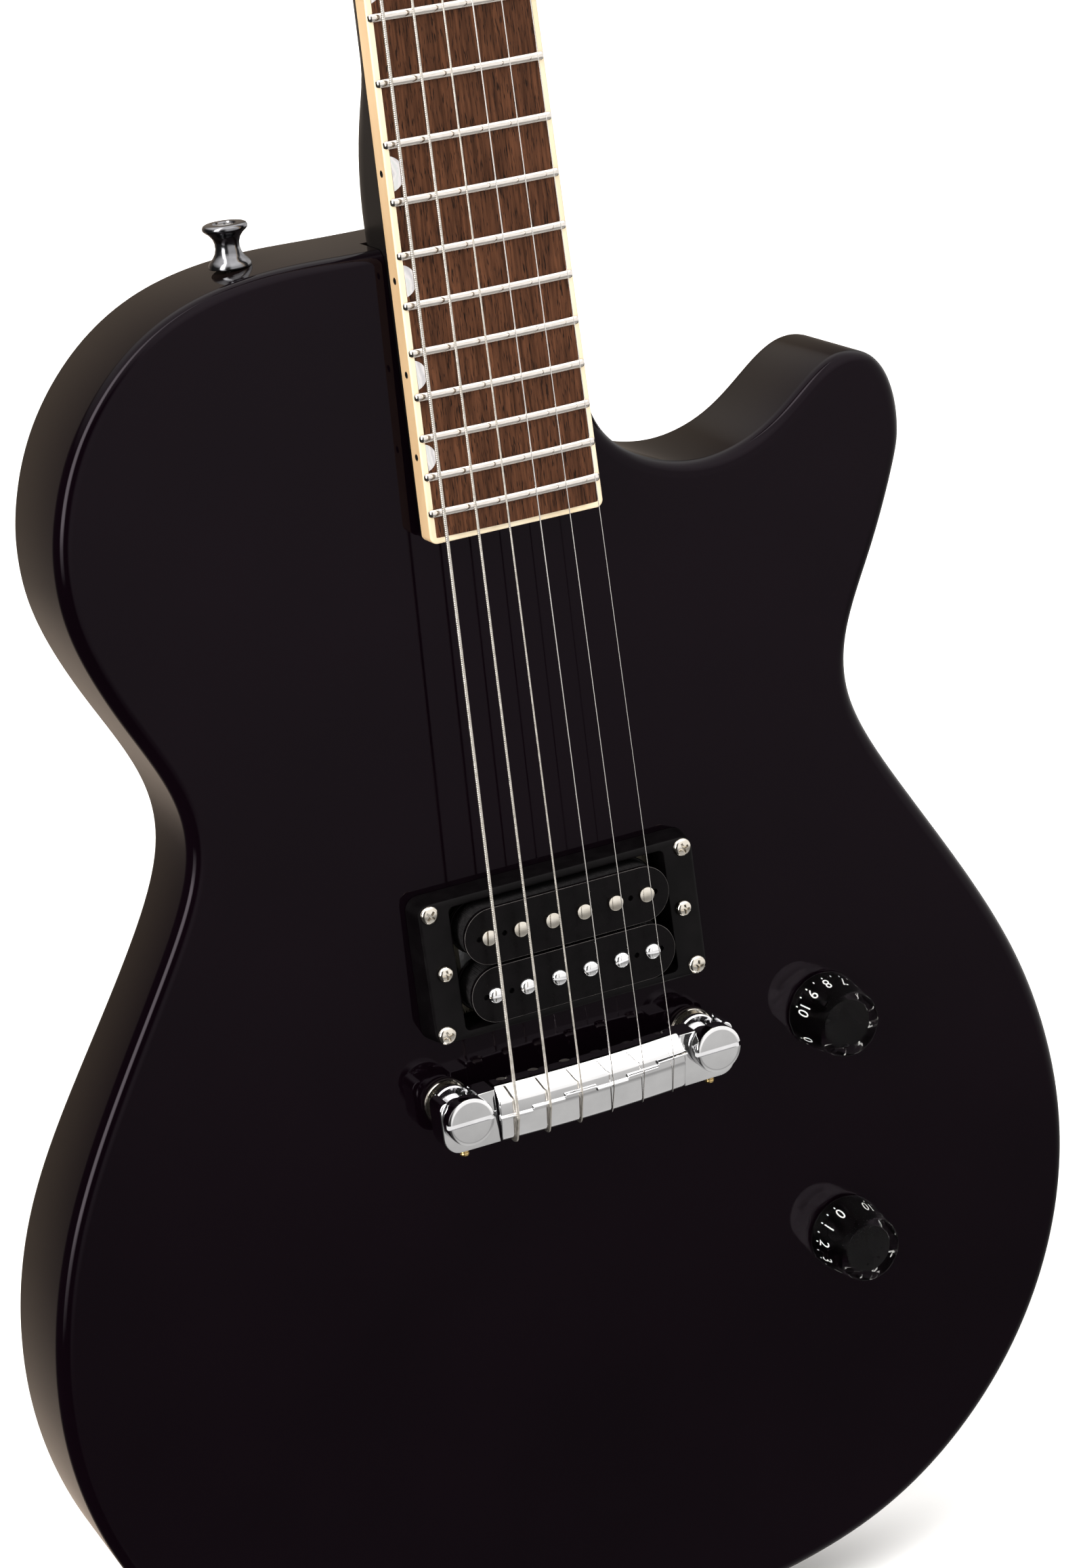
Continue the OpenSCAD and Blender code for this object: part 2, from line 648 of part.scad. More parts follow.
module ear(s) {
    x = s * stud_gap / 2;
    difference() {
        union() {
            translate([x, stud_z - 3.2, 6]) cylinder(h = 8.4, r = 7.8);
            translate([min(x, x - s * 12), stud_z - 11, 6]) cube([12, 17, 8.4]);
            translate([x - 7.8, stud_z - 3.2, 6]) cube([15.6, 6, 8.4]);
        }
        translate([x, stud_z, 5]) cylinder(h = 12, r = 4.9);
        translate([x - 4.9, stud_z, 5]) cube([9.8, 10, 12]);
        translate([x, stud_z, 10]) rotate([90, 0, 0]) cylinder(h = 20, r = 1.55);
    }
}

module bridge_stud() {
    difference() {
        union() {
            translate([0, 0, -22]) cylinder(h = 26, r = 4);
            translate([0, 0, 3.4]) cylinder(h = 2.2, r = 6.6);
            translate([0, 0, 5]) cylinder(h = 10, r = 4.4);
            translate([0, 0, 14.8]) cylinder(h = 4.8, r = 7.5);
        }
        translate([-8, -0.7, 17.8]) cube([16, 1.4, 3]);
    }
}

module bridge_stud_bass() {
    color("#d9dadd") on_face() translate([-stud_gap / 2, stud_z, 0]) bridge_stud();
}

module bridge_stud_treble() {
    color("#d9dadd") on_face() translate([stud_gap / 2, stud_z, 0]) bridge_stud();
}

module stud_bushings() {
    color("#c4c5c8") on_face() for (s = [-1, 1]) translate([s * stud_gap / 2, stud_z, 0]) difference() {
        union() {
            translate([0, 0, -24]) cylinder(h = 24, r = 5.75);
            cylinder(h = 1.6, r = 7.4);
        }
        translate([0, 0, -25]) cylinder(h = 30, r = 4 + run_fit);
    }
}

module bridge_set_screws() {
    color("#b3aea6") on_face() for (s = [-1, 1]) translate([s * stud_gap / 2, stud_z - 5.2, 10])
        rotate([90, 0, 0]) difference() {
            cylinder(h = 8.6, r = 1.5);
            translate([0, 0, 6.6]) cylinder(h = 3, r = 0.8, $fn = 6);
        }
}

// ================= pickup =================
// Ring: a drafted frame, taller on its bridge side
module pickup_ring() {
    color("#151316") on_face() translate([0, pickup_z, 0]) difference() {
        hull() {
            rounded_block(ring_w, ring_l, 0.1, 0, 0);
            rounded_block(ring_w - 2.4, ring_l - 2.4, 0.1, 7.4, 9.5);
        }
        translate([-35.2, -19.2, -1]) cube([70.4, 38.4, 14]);
        for (x = [-1, 1]) translate([x * height_screw_x, 0, -1]) cylinder(h = 14, r = 1.6);
        for (x = [-1, 1]) translate([x * height_screw_x, 0, -0.5]) cylinder(h = 6.2, r = 3.3);
        for (p = ring_screw_at) translate([p[0], p[1] - pickup_z, ring_screw_top(p) - 1.3]) {
            cylinder(h = 4, r = 2.95);
            translate([0, 0, -12]) cylinder(h = 13, r = 1.45);
        }
    }
}

// A thin plate with round corners, its neck side at height a and its bridge side at height b
module rounded_block(w, l, h, a, b) {
    for (x = [-1, 1], y = [-1, 1]) translate([x * (w / 2 - 4), y * (l / 2 - 4), y > 0 ? a : b])
        cylinder(h = h, r = 4, $fn = 32);
}

module ring_screws() {
    color("#cfc8bd") on_face() for (p = ring_screw_at)
        translate([p[0], p[1], ring_screw_top(p)]) screw_pan(2.9, 1.15, 19);
}

function ring_screw_top(p) = p[1] > pickup_z ? 8.3 : 10.3;

// A domed screw with a cross recess, the top of its head at z = 0
module screw_pan(head_r, shank_r, length) {
    difference() {
        union() {
            translate([0, 0, -1.3]) cylinder(h = 1.3, r1 = head_r, r2 = head_r * 0.75);
            translate([0, 0, -length]) cylinder(h = length - 1, r = shank_r);
        }
        for (a = [0, 90]) rotate([0, 0, a]) translate([-head_r * 0.5, -0.3, -0.8])
            cube([head_r, 0.6, 1]);
    }
}

module pickup_baseplate() {
    color("#b8a878") on_face() translate([0, pickup_z, base_h]) difference() {
        union() {
            translate([-34, -18.6, 0]) cube([68, 37.2, 1]);
            for (s = [0, 1]) mirror([s, 0, 0]) translate([33, -5, -4]) {
                cube([1, 10, 4.5]);
                cube([9.9, 10, 1]);
            }
        }
        for (s = [-1, 1]) translate([s * height_screw_x, 0, -6]) cylinder(h = 5, r = 1.2 + run_fit);
        for (i = [0:5]) translate([string_x[i] * 5 * pole_pitch, -row_gap / 2, -2]) cylinder(h = 5, r = 1.65);
    }
}

// A bobbin: a top flange with round ends, a narrow core and a bottom flange, drilled for six poles
module bobbin(hole_r) {
    difference() {
        union() {
            flange(bobbin_top - 1.6, 1.6);
            flange(coil_bottom, 1.2);
            translate([-core_half, -2.9, coil_bottom]) cube([2 * core_half, 5.8, bobbin_top - coil_bottom]);
        }
        for (i = [0:5]) translate([string_x[i] * 5 * pole_pitch, 0, -1]) cylinder(h = 20, r = hole_r);
    }
}

module flange(z, h) {
    r = bobbin_l / 2;
    for (s = [-1, 1]) translate([s * (bobbin_w / 2 - r), 0, z]) cylinder(h = h, r = r);
    translate([-bobbin_w / 2 + r, -r, z]) cube([bobbin_w - 2 * r, bobbin_l, h]);
}

module slug_bobbin() {
    color("#19171a") on_face() translate([0, pickup_z + row_gap / 2, 0]) bobbin(2.45);
}

module screw_bobbin() {
    color("#19171a") on_face() translate([0, pickup_z - row_gap / 2, 0]) bobbin(1.65);
}

// A coil wrapped in tape, open in the middle for the bobbin's core
module taped_coil() {
    r = bobbin_l / 2 - 0.5;
    end = bobbin_w / 2 - 0.5 - r;
    difference() {
        union() {
            for (e = [-1, 1]) translate([e * end, 0, 0]) cylinder(h = tape_h, r = r);
            translate([-end, -r, 0]) cube([2 * end, 2 * r, tape_h]);
        }
        translate([-core_half, -2.9, -1]) cube([2 * core_half, 5.8, tape_h + 2]);
    }
}

module coil_tape() {
    color("#1d1b1c") on_face() for (s = [-1, 1])
        translate([0, pickup_z + s * row_gap / 2, coil_bottom + 1.2]) taped_coil();
}

module pole_slugs() {
    color("#cfc8bd") on_face() for (i = [0:5])
        translate([string_x[i] * 5 * pole_pitch, pickup_z + row_gap / 2, coil_bottom])
            cylinder(h = 13.6 - coil_bottom, r = 2.45);
}

module pole_screws() {
    color("#d7d4cf") on_face() for (i = [0:5])
        translate([string_x[i] * 5 * pole_pitch, pickup_z - row_gap / 2, 0]) difference() {
            union() {
                translate([0, 0, -9]) cylinder(h = 22, r = 1.6);
                translate([0, 0, bobbin_top]) cylinder(h = 1.7, r1 = 2.5, r2 = 1.9);
            }
            translate([-3, -0.35, bobbin_top + 0.9]) cube([6, 0.7, 2]);
        }
}

module pickup_magnet() {
    color("#5a5a5c") on_face() translate([-31, pickup_z - 6.3, base_h + 1]) cube([62, 12.6, 2.9]);
}

// Keeper bar under the screw row and spacer under the slug row
module pickup_bars() {
    color("#8d8a84") on_face() difference() {
        union() {
            translate([-31, pickup_z - 12.6, base_h + 1]) cube([62, 6.2, 2.9]);
            translate([-31, pickup_z + 6.4, base_h + 1]) cube([62, 6.2, 2.9]);
        }
        for (i = [0:5]) translate([string_x[i] * 5 * pole_pitch, pickup_z - row_gap / 2, base_h])
            cylinder(h = 6, r = 1.6);
    }
}

module height_screw(s) {
    on_face() translate([s * height_screw_x, pickup_z, 9.4]) difference() {
        union() {
            translate([0, 0, -0.4]) cylinder(h = 1.5, r1 = 2.5, r2 = 1.9);
            translate([0, 0, -22]) cylinder(h = 22.5, r = 1.2);
        }
        for (a = [0, 90]) rotate([0, 0, a]) translate([-1.2, -0.3, 0.4]) cube([2.4, 0.6, 1]);
    }
}

module height_screw_bass() {
    color("#cfc8bd") height_screw(-1);
}

module height_screw_treble() {
    color("#cfc8bd") height_screw(1);
}

// Springs between the ring and the baseplate's ears, each as a plain sleeve
module height_springs() {
    color("#a9a9ac") on_face() for (s = [-1, 1]) translate([s * height_screw_x, pickup_z, base_h - 2.7])
        difference() {
            cylinder(h = 5.4 - base_h + 2.7, r = 2.6);
            translate([0, 0, -1]) cylinder(h = 16, r = 1.7);
        }
}

// ================= controls =================
module knob() {
    difference() {
        union() {
            cylinder(h = 2, r = 12.4);
            translate([0, 0, 2]) cylinder(h = knob_h - 3, r1 = 12.2, r2 = 10.4);
            translate([0, 0, knob_h - 1]) cylinder(h = 1, r1 = 10.4, r2 = 9.8);
        }
        translate([0, 0, -1]) cylinder(h = 5.5, r = 9.6);
        translate([0, 0, -1]) cylinder(h = knob_h - 2.5, r = 3);
    }
}

module volume_knob() {
    color("#141215") on_face() translate([knob_x, volume_z, 0.8]) knob();
}

module tone_knob() {
    color("#141215") on_face() translate([knob_x, tone_z, 0.8]) knob();
}

module shaft_at(y) {
    on_face() translate([knob_x, y, -11]) cylinder(h = knob_h + 7.6, r = 3);
}

module volume_shaft() {
    color("#b7b2a6") shaft_at(volume_z);
}

module tone_shaft() {
    color("#b7b2a6") shaft_at(tone_z);
}

module pots() {
    color("#a7a9ab") on_face() for (y = [tone_z, volume_z]) translate([knob_x, y, 0]) difference() {
        union() {
            translate([0, 0, -17.1]) cylinder(h = 10, r = 12);
            translate([0, 0, -9]) cylinder(h = 11.4, r = 4.7);
            translate([-9, -16, -16.5]) cube([18, 5, 1]);
        }
        translate([0, 0, -12]) cylinder(h = 20, r = 3 + run_fit);
    }
}

module pot_nuts() {
    color("#c0c1c3") on_face() for (y = [tone_z, volume_z]) translate([knob_x, y, 0]) difference() {
        union() {
            cylinder(h = 0.6, r = 7.2);
            translate([0, 0, 0.5]) cylinder(h = 1.8, r = 6.3, $fn = 6);
        }
        translate([0, 0, -1]) cylinder(h = 5, r = 4.7);
    }
}

module capacitor() {
    color("#3d7a4e") on_face() translate([knob_x - 6, (tone_z + volume_z) / 2, -22]) {
        rounded_plate(12, 9, 2, 4);
        for (s = [-1, 1]) rod([s * 4, 0, 2], [s * 5, s * 21.5, 5], 0.4);
    }
}

// ================= jack =================
module output_jack() {
    color("#c9c9cc") on_jack() difference() {
        union() {
            translate([0, 0, -10]) cylinder(h = 13, r = 4.7);
            translate([0, 0, -28]) cylinder(h = 19, r = 8);
            translate([0, 0, -0.2]) cylinder(h = 2.2, r = 7, $fn = 6);
        }
        translate([0, 0, -26]) cylinder(h = 40, r = jack_bore_r);
    }
}

module jack_plate() {
    color("#1f1e20") on_jack() difference() {
        translate([0, 0, -1.8]) cylinder(h = 1.6, r = 15);
        translate([0, 0, -5]) cylinder(h = 10, r = 4.7);
        for (a = [90, 270]) rotate([0, 0, a]) translate([12, 0, -5]) cylinder(h = 10, r = 1.1);
    }
}

// ================= covers, plates and screws =================
module control_cover() {
    color("#151316") on_face() difference() {
        translate([0, 0, -body_t]) stadium(cover_r, cover_t);
        for (p = cover_screw_at) translate([p[0], p[1], -body_t - 1]) cylinder(h = 5, r = 1.2);
    }
}

module body_screws() {
    color("#b9b9bd") {
        on_face() for (p = cover_screw_at) translate([p[0], p[1], -body_t - 1.3]) rotate([180, 0, 0])
            screw_pan(2.6, 1.15, 12);
        on_jack() for (a = [90, 270]) rotate([0, 0, a]) translate([12, 0, 1.1]) screw_pan(2, 0.95, 11);
        on_face() translate([0, 0, -body_t / 2]) for (p = strap_at) rod(p - strap_in(p) * 12,
            p + strap_in(p) * 26, 1.55);
    }
}

module neck_plate() {
    color("#1f1e20") plate_frame() difference() {
        rounded_plate(51, 64, 6, 1.8);
        for (p = neck_screw_at) translate([p[0], p[1], -1]) cylinder(h = 4, r = 2.6);
    }
}

// The back face behind the heel: z points to the front, 0 at the outer face of the plate
plate_y = nut_z - 423;
module plate_frame() {
    on_face() translate([0, plate_y, -body_t - 1.8]) children();
}

module neck_screws() {
    color("#b9b9bd") for (p = neck_screw_at) plate_frame() translate([p[0], p[1], 0]) difference() {
        union() {
            translate([0, 0, -1.6]) cylinder(h = 1.6, r1 = 3, r2 = 4.2);
            translate([0, 0, -0.1]) cylinder(h = 25, r = 2.5);
            translate([0, 0, 24]) cylinder(h = 14, r = 1.55);
        }
        for (a = [0, 90]) rotate([0, 0, a]) translate([-2, -0.4, -2]) cube([4, 0.8, 1.4]);
    }
}

module strap_buttons() {
    color("#4a4a4e") on_face() translate([0, 0, -body_t / 2]) for (p = strap_at)
        translate(p) rotate([strap_in(p)[1] < 0 ? -90 : 90, 0, 0]) difference() {
            rotate_extrude() polygon([[1.6, 0], [6, 0], [6, 1.6], [4.6, 2.6], [3.6, 4.4], [3.4, 6.4],
                [4.2, 8.4], [6.3, 10.4], [6.4, 11.6], [5.6, 12.2], [1.6, 12.2]]);
            translate([0, 0, -1]) cylinder(h = 20, r = 1.6);
        }
}

// ================= assembly =================
body();
neck();
fingerboard();
fingerboard_binding();
frets();
inlays();
side_dots();
nut();
truss_rod();
truss_rod_nut();
truss_rod_cover();
headstock_screws();
tuner_housings();
tuner_key(5);  // tuner_key_1
tuner_key(4);  // tuner_key_2
tuner_key(3);  // tuner_key_3
tuner_key(2);  // tuner_key_4
tuner_key(1);  // tuner_key_5
tuner_key(0);  // tuner_key_6
tuner_post(5);  // tuner_post_1
tuner_post(4);  // tuner_post_2
tuner_post(3);  // tuner_post_3
tuner_post(2);  // tuner_post_4
tuner_post(1);  // tuner_post_5
tuner_post(0);  // tuner_post_6
tuner_bushings();
wound_strings();
plain_strings();
bridge_bar();
bridge_stud_bass();
bridge_stud_treble();
stud_bushings();
bridge_set_screws();
pickup_ring();
ring_screws();
pickup_baseplate();
slug_bobbin();
screw_bobbin();
pole_slugs();
pole_screws();
pickup_magnet();
pickup_bars();
coil_tape();
height_screw_bass();
height_screw_treble();
height_springs();
volume_knob();
tone_knob();
volume_shaft();
tone_shaft();
pots();
pot_nuts();
capacitor();
output_jack();
jack_plate();
control_cover();
body_screws();
neck_plate();
neck_screws();
strap_buttons();
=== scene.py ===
"""Looks of a single-cutaway electric guitar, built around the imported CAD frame.

Shapes are built in the frame of the body's face, in millimetres: x to the treble side, y up the body from its
bottom edge and z out of the face. FACE turns that into the part's own frame, in metres.
"""

import math

import bmesh
import bpy
import numpy as np
from mathutils import Matrix, Vector


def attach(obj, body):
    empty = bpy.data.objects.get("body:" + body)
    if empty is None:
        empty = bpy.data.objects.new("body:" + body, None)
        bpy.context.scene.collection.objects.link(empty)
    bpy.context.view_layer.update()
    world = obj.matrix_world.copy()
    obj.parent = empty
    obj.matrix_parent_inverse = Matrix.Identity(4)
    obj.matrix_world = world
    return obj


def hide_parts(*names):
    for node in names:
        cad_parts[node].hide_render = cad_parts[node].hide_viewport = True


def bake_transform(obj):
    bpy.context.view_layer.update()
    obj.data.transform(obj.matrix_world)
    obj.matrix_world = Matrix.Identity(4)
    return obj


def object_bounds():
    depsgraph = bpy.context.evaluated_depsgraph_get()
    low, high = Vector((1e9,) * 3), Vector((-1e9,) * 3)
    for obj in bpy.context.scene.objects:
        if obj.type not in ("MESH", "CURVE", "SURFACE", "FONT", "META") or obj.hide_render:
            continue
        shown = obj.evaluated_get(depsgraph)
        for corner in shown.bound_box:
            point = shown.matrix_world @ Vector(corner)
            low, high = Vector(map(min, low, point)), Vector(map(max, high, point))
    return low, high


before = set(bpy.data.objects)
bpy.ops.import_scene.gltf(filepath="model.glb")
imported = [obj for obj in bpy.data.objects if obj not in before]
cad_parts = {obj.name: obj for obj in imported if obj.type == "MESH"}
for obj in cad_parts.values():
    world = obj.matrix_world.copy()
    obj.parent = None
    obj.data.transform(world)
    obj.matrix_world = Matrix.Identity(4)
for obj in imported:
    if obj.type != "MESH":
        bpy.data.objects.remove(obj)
CAD_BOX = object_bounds()

# ---- sizes in millimetres, as in the CAD part ----
BODY_T, EDGE_FRONT, EDGE_BACK = 42, 4.5, 4
SCOOP_DEPTH, SCOOP_Y, SCOOP_HALF, SCOOP_X, SCOOP_RUN = 10, 262, 112, 38, 62
STUD_Z, STUD_GAP, SCALE = 200, 82.4, 628.65
NUT_Z, NUT_LEN, NUT_W, BOARD_FLARE = STUD_Z + SCALE + 3.6, 5, 42.8, 0.02545
BOARD_SEAT, BOARD_T, BOARD_LEN, CROWN, BINDING = -5.96, 7.5, 461.2, 305, 1.8
NECK_ANGLE, HEAD_ANGLE, HEAD_T, GRIP_T = 1.25, 12, 14, 14
HEEL_T, HEEL_W, HEEL_START, HEEL_RUN = 19.9, 52, 326, 46
FRETS, FRET_H, FRET_W = 22, 1.1, 2.6
INLAY_FRETS = [1, 3, 5, 7, 9, 12, 15, 17, 19, 21]
STRING_D = [1.17, 0.91, 0.66, 0.43, 0.33, 0.25]
SADDLE_BACK = [2.6, 1.6, 0.5, 1.4, 0.4, -0.9]
STRING_SPREAD, NUT_SPREAD, STRING_H, BRIDGE_CROWN = 52.4, 35.4, 18.7, 330
PICKUP_Z, RING_W, RING_L, POLE_PITCH, ROW_GAP = 243.3, 92, 45.5, 10.35, 18.3
BOBBIN_W, BOBBIN_L, BOBBIN_TOP, COIL_BOTTOM, HEIGHT_SCREW_X = 67, 17.4, 12.6, 0.4, 39.3
KNOB_X, VOLUME_Z, TONE_Z, KNOB_SEAT = 87.3, 194.2, 117.2, 0.8
POST_SIDE, POST_ROW = [-1, -1, -1, 1, 1, 1], [0, 1, 2, 2, 1, 0]
WORM_Y, TUNER_MID, KEY_OUT, WRAP_H, POST_R = 8, -4.6, 20, 8, 3


# ---- frames ----
def move(x=0.0, y=0.0, z=0.0):
    return Matrix.Translation((x, y, z))


def turn(degrees, axis):
    return Matrix.Rotation(math.radians(degrees), 4, axis)


def mirror():
    return Matrix.Diagonal((-1, 1, 1, 1))


def stud_place(s, y=0.0, z=0.0):
    """At the bridge stud of that side, -1 bass and 1 treble."""
    return move(s * STUD_GAP / 2, STUD_Z + y, z)


FACE = Matrix.Diagonal((0.001, 0.001, 0.001, 1)) @ move(0, -BODY_T / 2) @ turn(90, "X")
NECK = move(0, NUT_Z, BOARD_SEAT) @ turn(-NECK_ANGLE, "X")
HEAD = NECK @ move(0, NUT_LEN) @ turn(-HEAD_ANGLE, "X")
JACK = move(147.9, 56.4, -BODY_T / 2) @ turn(-35, "Z") @ turn(90, "Y")
PLATE = move(0, NUT_Z - 423, -BODY_T - 1.8)
STRAPS = [
    move(0, 0, -BODY_T / 2) @ turn(90, "X"),
    move(-64, 454, -BODY_T / 2) @ turn(-90, "X"),
]


def post_place(i):
    return (POST_SIDE[i] * (20.5 + 2.2 * POST_ROW[i]), 38 + 39 * POST_ROW[i])


def tuner(i):
    """The back of the headstock at post i, x to its outside."""
    place = HEAD @ move(*post_place(i), -HEAD_T)
    return place @ mirror() if POST_SIDE[i] < 0 else place


def across(i, width):
    """x of string i, with the outer strings that far apart."""
    return (i - 2.5) / 5 * width


def unit(rows):
    return rows / np.linalg.norm(rows, axis=1)[:, None]


# ---- outlines, as lists of (x, y) ----
def smooth_loop(points, steps):
    """Closed cubic B-spline that passes close to its points."""
    p = np.array(points, float)
    c = (8 * p - np.roll(p, 1, 0) - np.roll(p, -1, 0)) / 6
    t = (np.arange(steps) / steps)[:, None, None]
    out = (1 - t) ** 3 * np.roll(c, 1, 0) + (3 * t**3 - 6 * t**2 + 4) * c
    out = out + (-3 * t**3 + 3 * t**2 + 3 * t + 1) * np.roll(c, -1, 0) + t**3 * np.roll(c, -2, 0)
    return (out / 6).transpose(1, 0, 2).reshape(-1, 2)


def inset(outline, distance):
    """The outline moved inwards."""
    p = np.array(outline, float)
    q = np.roll(p, -1, 0)
    t = unit(q - np.roll(p, 1, 0))
    way = 1 if np.sum(p[:, 0] * q[:, 1] - q[:, 0] * p[:, 1]) > 0 else -1
    return p + way * distance * np.stack([-t[:, 1], t[:, 0]], 1)


def arc(cx, cy, r, start, end, steps):
    a = np.radians(np.linspace(start, end, steps + 1))
    return [(cx + r * math.cos(k), cy + r * math.sin(k)) for k in a]


def circle(r, steps=48):
    return arc(0, 0, r, 0, 360, steps)[:-1]


def rounded_rect(w, l, r, steps=6, cx=0.0, cy=0.0):
    out = []
    for x, y, a in [(1, 1, 0), (-1, 1, 90), (-1, -1, 180), (1, -1, 270)]:
        out += arc(cx + x * (w / 2 - r), cy + y * (l / 2 - r), r, a, a + 90, steps)
    return out


def stadium(r):
    """Round-ended bar about the two knobs."""
    return rounded_rect(2 * r, 2 * r + VOLUME_Z - TONE_Z, r - 0.01, 16, KNOB_X, (VOLUME_Z + TONE_Z) / 2)


def rounding(z0, z1, low, high, steps=4):
    """Insets and heights of a slab whose lower and upper edges are rounded by those radii."""
    a = np.linspace(0, math.pi / 2, steps + 1)
    out = [(low * (1 - math.sin(k)), z0 + low * (1 - math.cos(k))) for k in a]
    return out + [(high * (1 - math.cos(k)), z1 - high * (1 - math.sin(k))) for k in a]


def smooth_path(points, steps):
    """Open curve through the points."""
    p = np.array([2 * np.array(points[0]) - points[1], *points, 2 * np.array(points[-1]) - points[-2]], float)
    t = (np.arange(steps) / steps)[None, :, None]
    a, b, c, d = p[:-3, None], p[1:-2, None], p[2:-1, None], p[3:, None]
    out = 0.5 * (2 * b + (c - a) * t + (2 * a - 5 * b + 4 * c - d) * t**2 + (3 * b - a - 3 * c + d) * t**3)
    return np.vstack([out.reshape(-1, 3), p[-2]])


class Form:
    """Points, faces and material numbers of a mesh, gathered from simple shapes."""

    def __init__(self):
        self.points, self.faces, self.paint = [], [], []

    def loft(self, rings, at=None, paint=0, ends=True, loop=False):
        """Faces from ring to ring. paint is one material, or one for each side of the rings."""
        rings = np.array(rings, float)
        count, n = rings.shape[:2]
        base = len(self.points)
        m = np.array(at or Matrix.Identity(4))
        self.points += (rings.reshape(-1, 3) @ m[:3, :3].T + m[:3, 3]).tolist()
        i = np.arange(n)
        for k in range(count if loop else count - 1):
            a, b = base + k * n, base + (k + 1) % count * n
            self.faces += np.stack([a + i, a + (i + 1) % n, b + (i + 1) % n, b + i], 1).tolist()
            self.paint += [paint] * n if isinstance(paint, int) else list(paint)
        if ends and not loop:
            self.faces += [(base + i[::-1]).tolist(), (base + (count - 1) * n + i).tolist()]
            self.paint += [paint if isinstance(paint, int) else paint[0]] * 2
        return self

    def stack(self, outline, levels, at=None, paint=0):
        """The outline at each (inset, height) level."""
        rings = [[(*p, z) for p in inset(outline, d)] for d, z in levels]
        return self.loft(rings, at, paint)

    def slab(self, outline, z0, z1, edge=0.4, at=None, paint=0, low=None):
        return self.stack(outline, rounding(z0, z1, edge if low is None else low, edge), at, paint)

    def lathe(self, profile, at=None, paint=0, steps=48):
        """(radius, height) points turned about z."""
        around = np.array(circle(1, steps))
        return self.loft([[(r * x, r * y, z) for x, y in around] for r, z in profile], at, paint)

    def tube(self, path, radius, sides=10, at=None, paint=0, ends=True):
        """A round bar along the path; radius is a number, one for each point, or one for each point and side."""
        p = np.array(path, float)
        t = unit(np.gradient(p, axis=0))
        side = np.cross(t[0], (0.3, 0.5, 0.8) if abs(t[0][0]) > 0.9 else (1, 0, 0))
        frames = []
        for d in t:
            side = side - d * np.dot(side, d)
            side = side / np.linalg.norm(side)
            frames.append((side, np.cross(d, side)))
        f = np.array(frames)
        a = np.arange(sides) * 2 * math.pi / sides
        if np.ndim(radius) == 1:
            radius = np.array(radius, float).reshape(-1, 1)
        radius = np.broadcast_to(radius, (len(p), sides))
        ring = np.cos(a)[None, :, None] * f[:, None, 0] + np.sin(a)[None, :, None] * f[:, None, 1]
        return self.loft(p[:, None] + radius[..., None] * ring, at, paint, ends)

    def add(self, other, at=None, paint=None):
        """Another form, moved by the matrix."""
        base = len(self.points)
        m = np.array(at or Matrix.Identity(4))
        self.points += (np.array(other.points) @ m[:3, :3].T + m[:3, 3]).tolist()
        self.faces += [[base + k for k in f] for f in other.faces]
        self.paint += other.paint if paint is None else [paint] * len(other.faces)
        return self

    def mesh(self, name):
        mesh = bpy.data.meshes.new(name)
        mesh.from_pydata(self.points, [], self.faces)
        mesh.polygons.foreach_set("material_index", self.paint)
        work = bmesh.new()
        work.from_mesh(mesh)
        bmesh.ops.recalc_face_normals(work, faces=work.faces)
        work.to_mesh(mesh)
        work.free()
        return mesh


def carve(form, *tools):
    """The form with the tools cut away."""
    things = [bpy.data.objects.new("cut", f.mesh("cut")) for f in (form, *tools)]
    for thing in things:
        bpy.context.scene.collection.objects.link(thing)
    for tool in things[1:]:
        step = things[0].modifiers.new("cut", "BOOLEAN")
        step.object, step.solver = tool, "EXACT"
    bpy.context.view_layer.update()
    mesh = things[0].evaluated_get(bpy.context.evaluated_depsgraph_get()).to_mesh()
    out = Form()
    out.points = [list(v.co) for v in mesh.vertices]
    out.faces = [list(p.vertices) for p in mesh.polygons]
    out.paint = [p.material_index if p.material_index < 8 else 0 for p in mesh.polygons]
    for thing in things:
        bpy.data.objects.remove(thing)
    return out


def piece(name, form, body, materials, nodes=(), sharp=38, weighted=True):
    """The form as an object that rides a CAD body, if one is given, and stands for CAD nodes."""
    placed = Form().add(form, FACE)
    obj = bpy.data.objects.new(name, placed.mesh(name))
    bpy.context.scene.collection.objects.link(obj)
    for material in [materials] if isinstance(materials, bpy.types.Material) else materials:
        obj.data.materials.append(material)
    obj.data.polygons.foreach_set("use_smooth", [True] * len(obj.data.polygons))
    obj.data.set_sharp_from_angle(angle=math.radians(sharp))
    if weighted:
        obj.modifiers.new("normals", "WEIGHTED_NORMAL").keep_sharp = True
    if nodes:
        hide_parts(*([nodes] if isinstance(nodes, str) else nodes))
    if body:
        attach(obj, body)
    return obj


# ---- materials ----
def add_node(tree, kind, inputs, **settings):
    """A new shader node. Its inputs are by name or number: a socket is linked, and anything else is set."""
    out = tree.nodes.new("ShaderNode" + kind)
    for key, value in settings.items():
        setattr(out, key, value)
    for key, value in inputs.items():
        if isinstance(value, bpy.types.NodeSocket):
            tree.links.new(value, out.inputs[key])
        else:
            out.inputs[key].default_value = value
    return out


def own_place(tree):
    return add_node(tree, "TexCoord", {}).outputs["Object"]


def grain(tree, size, stretch=(1, 1, 1), detail=3.0):
    """Noise over the object's own coordinates, with features of that size in millimetres."""
    mapping = add_node(tree, "Mapping", {"Vector": own_place(tree), "Scale": stretch})
    return add_node(tree, "TexNoise", {"Vector": mapping.outputs[0], "Scale": 1000 / size, "Detail": detail}).outputs[0]


